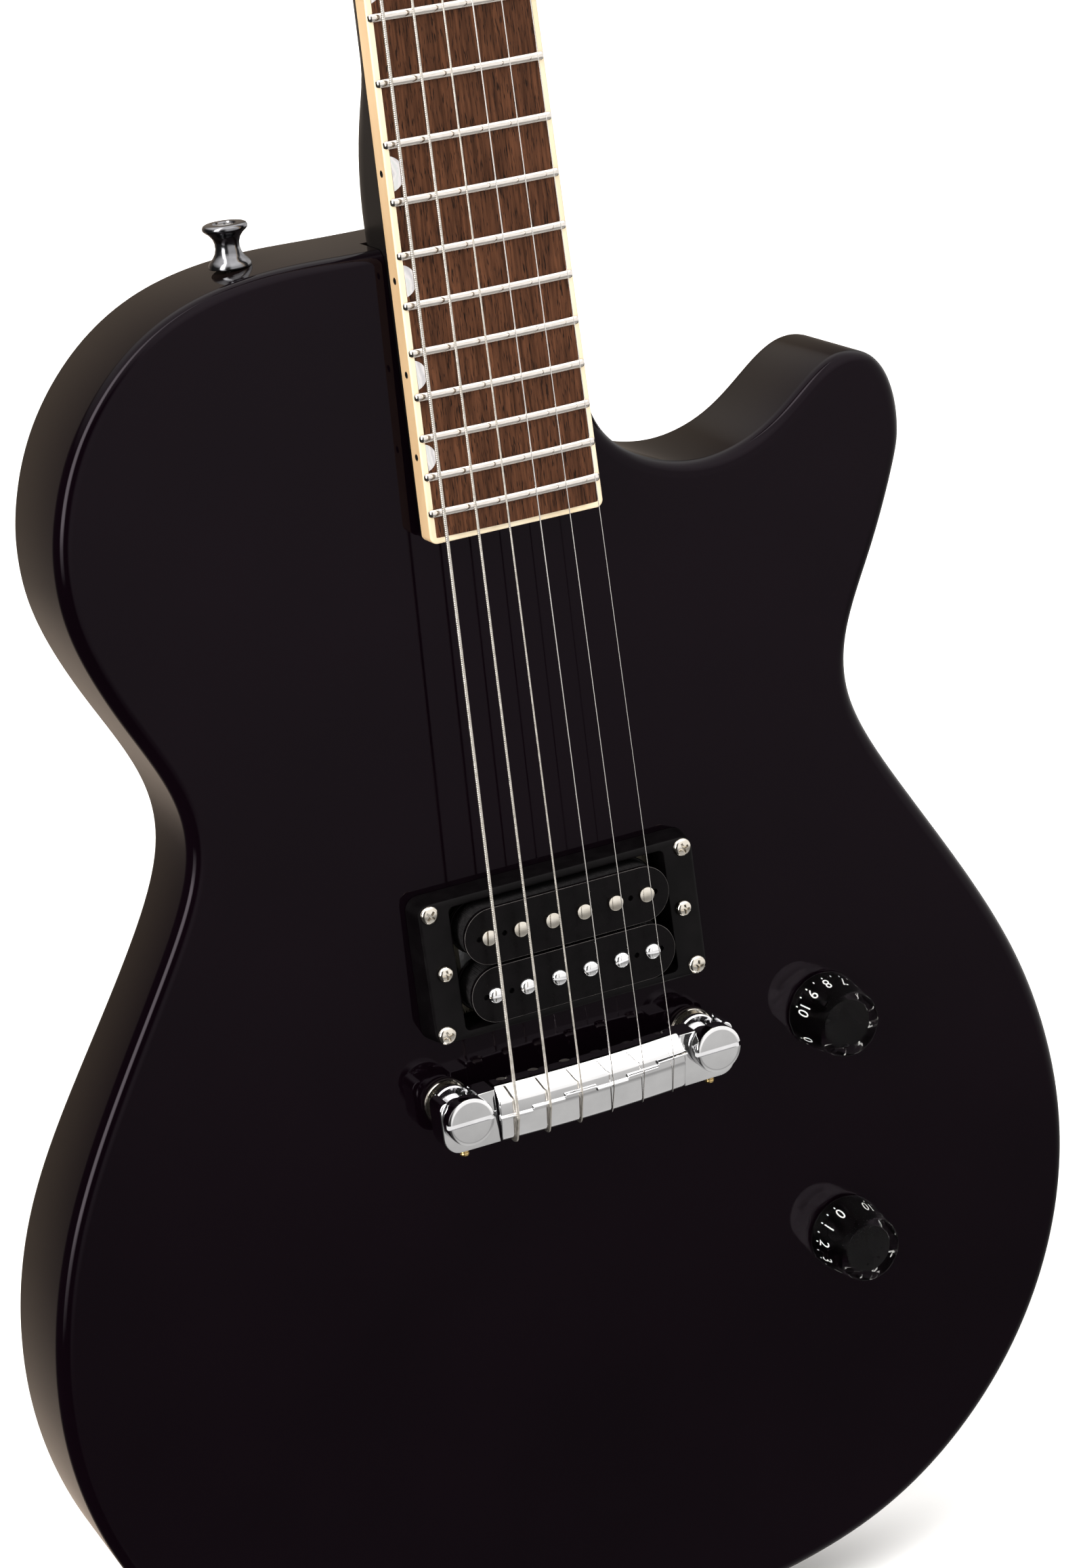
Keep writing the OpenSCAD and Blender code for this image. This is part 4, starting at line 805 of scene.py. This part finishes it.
def make_studs():
    body = [(4, -22), (4, 3.2), (6.2, 3.4), (6.6, 3.8), (6.6, 5.2), (6.2, 5.6), (4.4, 5.8), (4.4, 14.7), (6.9, 14.8),
            (7.35, 15.1), (7.5, 15.6), (7.5, 18.6), (7.3, 19.2), (6.8, 19.5), (6.2, 19.6)]
    slot = Form().slab(rounded_rect(16, 1.4, 0.05, 1), 17.8, 22, 0)
    stud = carve(Form().lathe(body, steps=64), slot).add(thread(4.02, -22, 3.2, 1.2, 0.3))
    bushing = [(5.3, -24), (5.75, -23.4), (5.75, 0), (7.1, 0), (7.4, 0.3), (7.4, 1.2), (7.1, 1.6), (4.2, 1.6),
               (4.05, 1.3), (4.05, 0)]
    bushings = Form()
    for s, name in [(-1, "bass"), (1, "treble")]:
        node = f"bridge_stud_{name}"
        piece(f"stud_{name}", Form().add(stud, stud_place(s)), node, CHROME, node)
        bushings.lathe(bushing, stud_place(s))
    piece("stud_sleeves", bushings, "guitar", NICKEL, "stud_bushings")


def make_set_screws():
    form = Form()
    socket = Form().lathe([(0.8, 6.6), (0.8, 9.5)], steps=6)
    one = carve(thread(1.5, 0, 8.6, 0.7, 0.15), socket)
    for s in (-1, 1):
        form.add(one, stud_place(s, -5.2, 10) @ turn(90, "X"))
    piece("set_screws", form, "guitar", BRASS, "bridge_set_screws")


# ---- pickup ----
def ring_top(y):
    """Height of the ring's lip, y from its middle."""
    return 8.45 - 1.05 * y / (RING_L / 2)


def ring_form():
    """A drafted frame with a rounded lip, taller on the bridge side."""
    rings = []
    for d, share in [(0.15, 0), (0, 0.03), (0.95, 0.88), (1.15, 0.95), (1.6, 0.99), (2.2, 1.0)]:
        outline = rounded_rect(RING_W - 2 * d, RING_L - 2 * d, max(0.5, 4.2 - d * 0.4), 8)
        rings.append([(x, y, share * ring_top(y)) for x, y in outline])
    for grow, share in [(0.5, 1.0), (0.15, 0.985), (0, 0.93), (0, 0)]:
        outline = rounded_rect(70.4 + 2 * grow, 38.4 + 2 * grow, 1.6 + grow, 8)
        rings.append([(x, y, share * ring_top(y)) for x, y in outline])
    return Form().loft(rings, loop=True)


def make_ring():
    wells = [Form().lathe([(1.7, -1), (1.7, 14)], move(s * HEIGHT_SCREW_X), steps=28) for s in (-1, 1)]
    frame_form = Form().add(carve(ring_form(), *wells), move(0, PICKUP_Z))
    piece("ring_frame", frame_form, "guitar", RING_PLASTIC, "pickup_ring", sharp=30)
    head = screw(2.9, 1.5, 1.15, 17, width=0.75, depth=1.1)
    form = Form()
    for k, (x, y) in enumerate([(x, y) for x in (-41.5, 41.5) for y in (-18.7, 18.7)]):
        form.add(head, move(x, PICKUP_Z + y, ring_top(y) - 0.1) @ turn(2.6, "X") @ turn(17 + 31 * k, "Z"))
    piece("ring_fixings", form, "guitar", NICKEL, "ring_screws")


def bobbin(at):
    """A coil former whose upper edge faces are a lighter grey: a painted highlight."""
    outline = rounded_rect(BOBBIN_W, BOBBIN_L, BOBBIN_L / 2 - 0.01, 20)
    levels = [(0.35, -1.6), (0.05, -1.5), (0, -1.2), (0, -0.13), (0.04, -0.04), (0.13, 0)]
    top = Form().stack(outline, [(d, BOBBIN_TOP + z) for d, z in levels])
    hole = [(0.85, BOBBIN_TOP - 1.3), (0.85, BOBBIN_TOP + 1)]
    xs = [-(BOBBIN_W / 2 - 4.6), -2 * POLE_PITCH, 2 * POLE_PITCH, BOBBIN_W / 2 - 4.6]
    form = carve(top, *[Form().lathe(hole, move(x), steps=20) for x in xs])
    # The faces of the rounded top edge take the second material, the lighter grey painted highlight.
    for k, face in enumerate(form.faces):
        low = min(form.points[p][2] for p in face) - BOBBIN_TOP
        form.paint[k] = int(-0.2 < low < -0.01 and len(face) == 4)
    form.slab(outline, COIL_BOTTOM, COIL_BOTTOM + 1.2, 0.3)
    form.slab(rounded_rect(58, 5.8, 2, 4), COIL_BOTTOM + 1, BOBBIN_TOP - 1.4, 0)
    return Form().add(form, at)


def coil_form():
    """Cloth tape over a wound coil: slightly bulged, with a lapped end."""
    w, l = BOBBIN_W - 1.2, BOBBIN_L - 1.2
    low, high = COIL_BOTTOM + 1.2, BOBBIN_TOP - 1.6
    mid = (low + high) / 2
    levels = [(0.35, low), (0.12, low + 1.2), (0, mid), (0.12, high - 1.2), (0.35, high)]
    form = Form().stack(rounded_rect(w, l, l / 2 - 0.01, 20), levels)
    return form.slab(rounded_rect(9, 8, 0.2, 2), 0, 0.28, 0.1, move(17, -l / 2 + 0.05, mid) @ turn(90, "X"))


def make_pickup():
    slug = Form().lathe([(2.42, COIL_BOTTOM), (2.42, 13.3), (2.3, 13.52), (2.05, 13.6), (0.05, 13.6)], steps=40)
    dome = cross_head(2.5, 1.55, 1, 0.7, 0.85).add(thread(1.6, -21.6, 0, 0.9, 0.2))
    slugs, screws, coils = Form(), Form(), Form()
    for k, angle in enumerate([-3, 6, -8, 4, 9, -5]):
        x = (k - 2.5) * POLE_PITCH
        slugs.add(slug, move(x, PICKUP_Z + ROW_GAP / 2))
        screws.add(dome, move(x, PICKUP_Z - ROW_GAP / 2, BOBBIN_TOP - 0.02) @ turn(angle, "Z"))
    for name, s in [("slug", 1), ("screw", -1)]:
        place = move(0, PICKUP_Z + s * ROW_GAP / 2)
        piece(f"{name}_coil_former", bobbin(place), "pickup", [BOBBIN_PLASTIC, EDGE_PAINTED_HIGHLIGHT],
              f"{name}_bobbin")
        coils.add(coil_form(), place)
    piece("slug_poles", slugs, "pickup", NICKEL, "pole_slugs")
    piece("screw_poles", screws, "pickup", CHROME, "pole_screws")
    piece("coil_wraps", coils, "pickup", TAPE, "coil_tape")
    lead = [(-26, -17.9, 8), (-22, -18.1, 10.2), (-15, -18, 9.6), (-9, -18, 7.5)]
    wire = Form().tube(smooth_path([(x, PICKUP_Z + y, z) for x, y, z in lead], 10), 0.12, 8)
    piece("coil_lead", wire, "pickup", COPPER)
    make_height_screws()


def make_height_screws():
    """The two screws, and springs that stretch from the ring to the pickup."""
    low, high, turns, r = -5.9, 5.1, 7, 2.15
    angles = [k * math.pi / 10 for k in range(turns * 20 + 1)]
    spring = [(r * math.cos(a), r * math.sin(a), low + (high - low) * a / (2 * math.pi * turns)) for a in angles]
    head = cross_head(2.5, 1.6, 2, 0.7, 1.0).add(thread(1.2, -21.8, 0.05, 0.6, 0.14))
    springs = Form()
    for s, name in [(-1, "bass"), (1, "treble")]:
        place = move(s * HEIGHT_SCREW_X, PICKUP_Z)
        springs.tube(spring, 0.42, 8, place)
        node = f"height_screw_{name}"
        piece(f"{node}_v", Form().add(head, place @ move(0, 0, 8.8)), node, NICKEL, node)
    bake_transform(piece("springs", springs, None, STEEL, "height_springs"))


# ---- controls ----
def numeral(text, size):
    """A digit as flat faces, centred on the origin."""
    curve = bpy.data.curves.new("digit", "FONT")
    curve.body, curve.size, curve.align_x, curve.align_y = text, size, "CENTER", "CENTER"
    thing = bpy.data.objects.new("digit", curve)
    bpy.context.scene.collection.objects.link(thing)
    bpy.context.view_layer.update()
    mesh = thing.evaluated_get(bpy.context.evaluated_depsgraph_get()).to_mesh()
    out = [tuple(v.co) for v in mesh.vertices], [list(p.vertices) for p in mesh.polygons]
    bpy.data.objects.remove(thing)
    return out


DIAL_STEP, DIAL_H, DIGIT_SIZE, DIGIT_WIDTH, PRINT_H = 30.5, 5.6, 6.2, 0.66, 0.035
TICK = [(-0.17, -3.4, 0), (0.17, -3.4, 0), (0.17, -2.6, 0), (-0.17, -2.6, 0)]
CORE = [(12.02, 0.1), (11.92, 1.2), (11.5, 2.1), (7.9, 14.1)]
SHELL = [(12.12, 0.02), (12.3, 0), (12.4, 0.15), (12.4, 1.5), (12.15, 1.95), (11.95, 2.3), (11.6, 6), (11.1, 10.5),
         (10.6, 14.8), (10.52, 15.4), (10.4, 15.72), (10.2, 15.92), (9.95, 16), (0.05, 16)]


def dial(start):
    """Numerals 0 to 10 on the core's wall, with ticks below and between them."""
    form = Form()
    for k in range(11):
        a = math.radians(start + DIAL_STEP * k)
        points, faces = numeral(str(k), DIGIT_SIZE)
        add_print(form, [(DIGIT_WIDTH * x, y, z) for x, y, z in points], faces, a)
        for half in (0, 0.5):
            if k + half <= 10:
                add_print(form, TICK, [[0, 1, 2, 3]], a + math.radians(DIAL_STEP * half))
    return form


def add_print(form, points, faces, angle):
    """Flat print bent round the core, with its top towards the knob's top."""
    base = len(form.points)
    (r0, z0), (r1, z1) = CORE[2:]
    for x, y, _ in points:
        z = DIAL_H + y
        r = r0 + (r1 - r0) * (z - z0) / (z1 - z0) + PRINT_H
        a = angle + x / r
        form.points.append([r * math.cos(a), r * math.sin(a), z])
    form.faces += [[base + i for i in f] for f in faces]
    form.paint += [0] * len(faces)


def make_knob(name, y, start):
    """A clear shell over a black core that carries the numerals; start is the angle of its 0."""
    place = move(KNOB_X, y, KNOB_SEAT)
    under = [(r + 0.08, z + 0.02) for r, z in CORE] + [(7.75, 14.5), (0.05, 14.5)]
    around = np.array(circle(1, 96))
    rings = [[(r * x, r * z, h) for x, z in around] for r, h in SHELL + under[::-1]]
    piece(f"{name}_shell", Form().loft(rings, place, loop=True), name, CLEAR, f"{name}_knob")
    core = [(3.05, 0.05), *CORE, (7.65, 14.4), (0.05, 14.42)]
    piece(f"{name}_core", Form().lathe(core, place, steps=96), name, KNOB_BLACK)
    piece(f"{name}_numerals", Form().add(dial(start), place), name, PRINT, weighted=False)


def make_controls():
    make_knob("volume", VOLUME_Z, -149)
    make_knob("tone", TONE_Z, 112)
    nuts = Form()
    for y in (TONE_Z, VOLUME_Z):
        nuts.lathe([(4.75, 0.0), (7.1, 0), (7.2, 0.1), (7.2, 0.5), (7.1, 0.6), (4.75, 0.6)], move(KNOB_X, y))
        nuts.slab(circle(6.2, 6), 0.55, 2.3, 0.25, move(KNOB_X, y))
    piece("pot_fixings", nuts, "guitar", NICKEL, "pot_nuts")


# ---- headstock ----
def make_tuners():
    housings, bushings, fixings = Form(), Form(), Form()
    small = screw(2.0, 1.1, 0.85, 7, width=0.5, depth=0.6)
    for i in range(6):
        at, n = tuner(i), 6 - i
        housings.slab(rounded_rect(17, 18, 2.5, 5, 0.5, 2), -9.2, 0, 1.3, at, low=0.6)
        housings.slab(rounded_rect(8, 10, 3.5, 8, 0, -10), -2, 0, 0.4, at)
        housings.lathe([(4, 0), (4, 3.4), (3.6, 4), (2.1, 4)], at @ move(8, WORM_Y, TUNER_MID) @ turn(90, "Y"))
        housings.lathe([(5.2, 0), (5.2, 0.3), (4.9, 0.55), (0.05, 0.6)], at @ move(0, 0, -9.1) @ turn(180, "X"))
        fixings.add(small, at @ move(0, -12, -2) @ turn(180, "X") @ turn(40 * i, "Z"))
        centre = HEAD @ move(*post_place(i))
        bushings.lathe([(4.6, -12), (4.6, 0), (6.8, 0), (7, 0.25), (7, 0.7), (6.7, 1), (3.05, 1)], centre)
        bushings.slab(circle(5.6, 6), 0.9, 3.5, 0.35, centre @ turn(11 * i, "Z"))
        key = key_form(at @ move(0, WORM_Y, TUNER_MID) @ turn(90, "Y"))
        piece(f"machine_key_{n}", key, f"key_{n}", HARDWARE, f"tuner_key_{n}")
        piece(f"machine_post_{n}", post_form(at), f"post_{n}", HARDWARE, f"tuner_post_{n}")
    piece("machine_housings", housings, "guitar", HARDWARE, "tuner_housings")
    piece("machine_bushings", bushings, "guitar", HARDWARE, "tuner_bushings")
    for k, (x, y) in enumerate([(-6.8, 8.5), (6.8, 8.5), (0, 44)]):
        fixings.add(small, HEAD @ move(x, y, 1.9) @ turn(25 + 60 * k, "Z"))
    piece("headstock_fixings", fixings, "guitar", STEEL, "headstock_screws")
    outline = [(-7, 3), (7, 3), (10, 9), (9, 20), (6, 34), (5, 46), (0, 50), (-5, 46), (-6, 34), (-9, 20), (-10, 9)]
    cover = Form().slab(smooth_loop(outline, 6), 0.05, 2.05, 0.4, HEAD)
    piece("rod_cover", cover, "guitar", GLOSS, "truss_rod_cover")


BUTTON = [(0, 2.2, 1.6), (0.5, 3.2, 2.2), (2.2, 5.6, 2.7), (4.5, 7.6, 3.1), (7.5, 8.5, 3.45), (10.5, 8.4, 3.5),
          (13, 7.4, 3.3), (15, 5.6, 2.9), (16.4, 3.4, 2.1), (16.95, 1.4, 1.0)]


def key_form(at):
    """Worm shaft, collar and a waisted button."""
    shaft = [(2.4, -4.5), (2.4, 4.5), (2, 4.6), (2, KEY_OUT - 3.4), (2.9, KEY_OUT - 3.3), (3.2, KEY_OUT - 3),
             (3.2, KEY_OUT - 0.3), (2.8, KEY_OUT)]
    a = np.linspace(0, 2 * math.pi, 40, endpoint=False)
    c, s = np.cos(a), np.sin(a)
    x, y = np.sign(c) * np.abs(c) ** 0.85, np.sign(s) * np.abs(s) ** 0.7
    rings = [np.column_stack([x * w, y * t, np.full(40, KEY_OUT + z)]) for z, w, t in BUTTON]
    return Form().lathe(shaft, at, steps=36).loft(rings, at)


def post_form(at):
    """Gear and a post with a waist for the string, bored across."""
    gear = [(5.1, TUNER_MID - 2), (5.1, TUNER_MID + 2), (3, TUNER_MID + 2.1)]
    post = [(3, 5.2), (2.75, 6.4), (2.7, 8.2), (3, 9.6), (3, 14.5), (2.8, 14.88), (2.4, 15), (0.05, 15)]
    profile = gear + [(r, HEAD_T + z) for r, z in post]
    hole = Form().lathe([(0.9, -6), (0.9, 6)], move(0, 0, HEAD_T + 11) @ turn(90, "X"), steps=20)
    return Form().add(carve(Form().lathe(profile, steps=40), hole), at)


# ---- fittings ----
STRAP_PIN = [(1.6, 0), (6, 0), (6.1, 0.3), (6, 1.0), (5.4, 1.9), (4.5, 2.8), (3.8, 4), (3.45, 5.4), (3.5, 6.8),
             (3.95, 8.2), (4.9, 9.4), (5.9, 10.2), (6.35, 10.7), (6.4, 11.3), (6.1, 11.9), (5.5, 12.2), (3.4, 12.2),
             (3.0, 11.4), (1.6, 11.3)]
BARREL = [(3.2, -26), (3.2, 2.4), (3.5, 2.9), (4.4, 2.9), (4.7, 2.5), (4.7, -8.9), (8, -9), (8, -28), (3.2, -28)]


def make_fittings():
    pins, screws = Form(), Form()
    for k, at in enumerate(STRAPS):
        pins.lathe(STRAP_PIN, at, steps=64)
        strap = screw(2.9, 1.1, 1.55, 36, width=0.6, depth=0.7)
        screws.add(strap, at @ move(0, 0, 11.1) @ turn(30 + 45 * k, "Z"))
    piece("strap_pins", pins, "guitar", SMOKED, "strap_buttons")
    cover = screw(2.6, 1.3, 1.15, 10.5, width=0.55, depth=0.7)
    for k, (x, y) in enumerate(COVER_SCREWS):
        screws.add(cover, move(x, y, -BODY_T) @ turn(180, "X") @ turn(23 * k, "Z"))
    jack = screw(2, 1.1, 0.95, 10, width=0.5, depth=0.6)
    for k, a in enumerate((90, 270)):
        screws.add(jack, JACK @ turn(a, "Z") @ move(12, 0, -0.1) @ turn(35 * k, "Z"))
    piece("body_fixings", screws, "guitar", STEEL, "body_screws")
    cavity = Form().slab(stadium(33), -BODY_T, -BODY_T + 2, 0.1, low=0.45)
    piece("cavity_cover", cavity, "guitar", GLOSS, "control_cover")
    plate = Form().slab(rounded_rect(51, 64, 6, 8), 0, 1.8, 0.05, PLATE, low=0.5)
    piece("heel_plate", plate, "guitar", HARDWARE, "neck_plate")
    bolts, bolt = Form(), screw(4.2, 1.6, 2.3, 36, width=0.9, depth=1.1)
    for k, (x, y) in enumerate(NECK_SCREWS):
        bolts.add(bolt, PLATE @ move(x, y, 0) @ turn(180, "X") @ turn(27 * k, "Z"))
    piece("neck_bolts", bolts, "guitar", STEEL, "neck_screws")
    around = circle(1, 40)
    barrel = Form().loft([[(r * x, r * y, z) for x, y in around] for r, z in BARREL], JACK, loop=True)
    nut = carve(Form().slab(circle(7, 6), -0.2, 2, 0.3), Form().lathe([(4.6, -1), (4.6, 4)]))
    piece("jack_barrel", barrel.add(nut, JACK), "guitar", NICKEL, "output_jack")
    dish = carve(Form().slab(circle(15, 64), -1.8, -0.2, 0.4), Form().lathe([(4.7, -5), (4.7, 5)]))
    piece("jack_dish", Form().add(dish, JACK), "guitar", HARDWARE, "jack_plate")


# ---- CAD nodes that stay ----
def paint_nodes():
    kept = {STEEL: ["truss_rod", "pickup_magnet", "pickup_bars"], HARDWARE: ["truss_rod_nut"], TIN: ["pots"],
            SHADED_SILVER: ["pickup_baseplate"], GREEN: ["capacitor"], BRASS: ["volume_shaft", "tone_shaft"]}
    for material, names in kept.items():
        for name in names:
            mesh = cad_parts[name].data
            mesh.materials.clear()
            mesh.materials.append(material)


# ---- stage ----
def make_floor():
    half, low = 14.0, CAD_BOX[0].z
    corners = [(-half, -half, low), (half, -half, low), (half, half, low), (-half, half, low)]
    mesh = bpy.data.meshes.new("floor")
    mesh.from_pydata(corners, [], [(0, 1, 2, 3)])
    floor = bpy.data.objects.new("floor", mesh)
    bpy.context.scene.collection.objects.link(floor)
    mesh.materials.append(finish("pale_floor", (0.86, 0.86, 0.86), (0.9, 0.9, 0.9), 400, (0.7, 0.9)))
    floor.visible_glossy = False


def multiply(tree, a, b):
    """The product of two sockets or numbers."""
    return add_node(tree, "Math", {0: a, 1: b}, operation="MULTIPLY").outputs[0]


# Soft panels round the object: where each starts, is full, starts to fade and ends in azimuth, its levels by
# elevation, its strength and its tint. All angles are in degrees; azimuth 0 is to the front, 90 to the treble side.
ALL_ROUND = (-400, -390, 390, 400)
BEHIND = [(-90, 0.6), (-36, 0.6), (-24, 0.46), (-15, 0.29), (15, 0.26), (60, 0.15)]
FRONT = [(-90, 0.54), (-46, 0.45), (-33, 0.26), (-28, 0.28), (-24.5, 0.38), (-21.5, 0.58), (-19, 0.7), (-11, 1),
         (30, 1), (50, 0.3)]
LAMP = [(-14, 0), (-3, 0.4), (4, 1), (40, 1), (72, 0.4)]
NEUTRAL, WARM = (1, 0.985, 0.965), (1, 0.8, 0.64)
PANELS = [
    (ALL_ROUND, [(-90, 0), (25, 0), (50, 1), (90, 1)], 1.9, NEUTRAL),
    (ALL_ROUND, [(-90, 0.5), (0, 0.5), (90, 1)], 0.08, NEUTRAL),
    ((-24, -10, 120, 150), FRONT, 1.15, NEUTRAL),
    ((-78, -71, -56, -48), LAMP, 13.0, NEUTRAL),
    ((-200, -190, -171, -132), BEHIND, 1.0, WARM),
    ((140, 165, 190, 200), BEHIND, 1.0, WARM),
]


def make_light():
    """A studio of soft panels, as a world that is bright overhead and has a tall lamp on the bass side."""
    world = bpy.data.worlds.new("studio")
    bpy.context.scene.world = world
    world.use_nodes = True
    tree = world.node_tree
    x, y, z = add_node(tree, "SeparateXYZ", {0: add_node(tree, "TexCoord", {}).outputs["Generated"]}).outputs
    rise = add_node(tree, "Math", {0: z}, operation="ARCSINE").outputs[0]
    round_z = add_node(tree, "Math", {0: x, 1: multiply(tree, y, -1)}, operation="ARCTAN2").outputs[0]
    elevation, azimuth = [multiply(tree, a, 180 / math.pi) for a in (rise, round_z)]
    height = spread(tree, elevation, 0, 1, -90, 90)
    total = None
    for (a, b, c, d), levels, strength, tint in PANELS:
        width = multiply(tree, spread(tree, azimuth, 0, 1, a, b), spread(tree, azimuth, 1, 0, c, d))
        level = ramp(tree, height, [((e + 90) / 180, (v, v, v)) for e, v in levels])
        panel = {0: [strength * t for t in tint], "Scale": multiply(tree, width, level)}
        light = add_node(tree, "VectorMath", panel, operation="SCALE").outputs[0]
        total = add_node(tree, "VectorMath", {0: total, 1: light}).outputs[0] if total else light
    tree.links.new(total, tree.nodes["Background"].inputs["Color"])


def make_camera():
    camera = bpy.data.objects.new("camera", bpy.data.cameras.new("camera"))
    bpy.context.scene.collection.objects.link(camera)
    camera.location = (-0.39325, -0.95427, 0.63198)
    camera.rotation_euler = [math.radians(a) for a in (71.224, 6.503, -25.137)]
    camera.data.lens = 83.33
    bpy.context.scene.camera = camera
    bpy.context.scene.view_settings.view_transform = "Standard"


make_body()
make_neck()
make_fingerboard()
make_binding()
make_frets()
make_inlays()
make_nut()
make_strings()
make_bar()
make_studs()
make_set_screws()
make_ring()
make_pickup()
make_controls()
make_tuners()
make_fittings()
paint_nodes()
make_floor()
make_light()
make_camera()
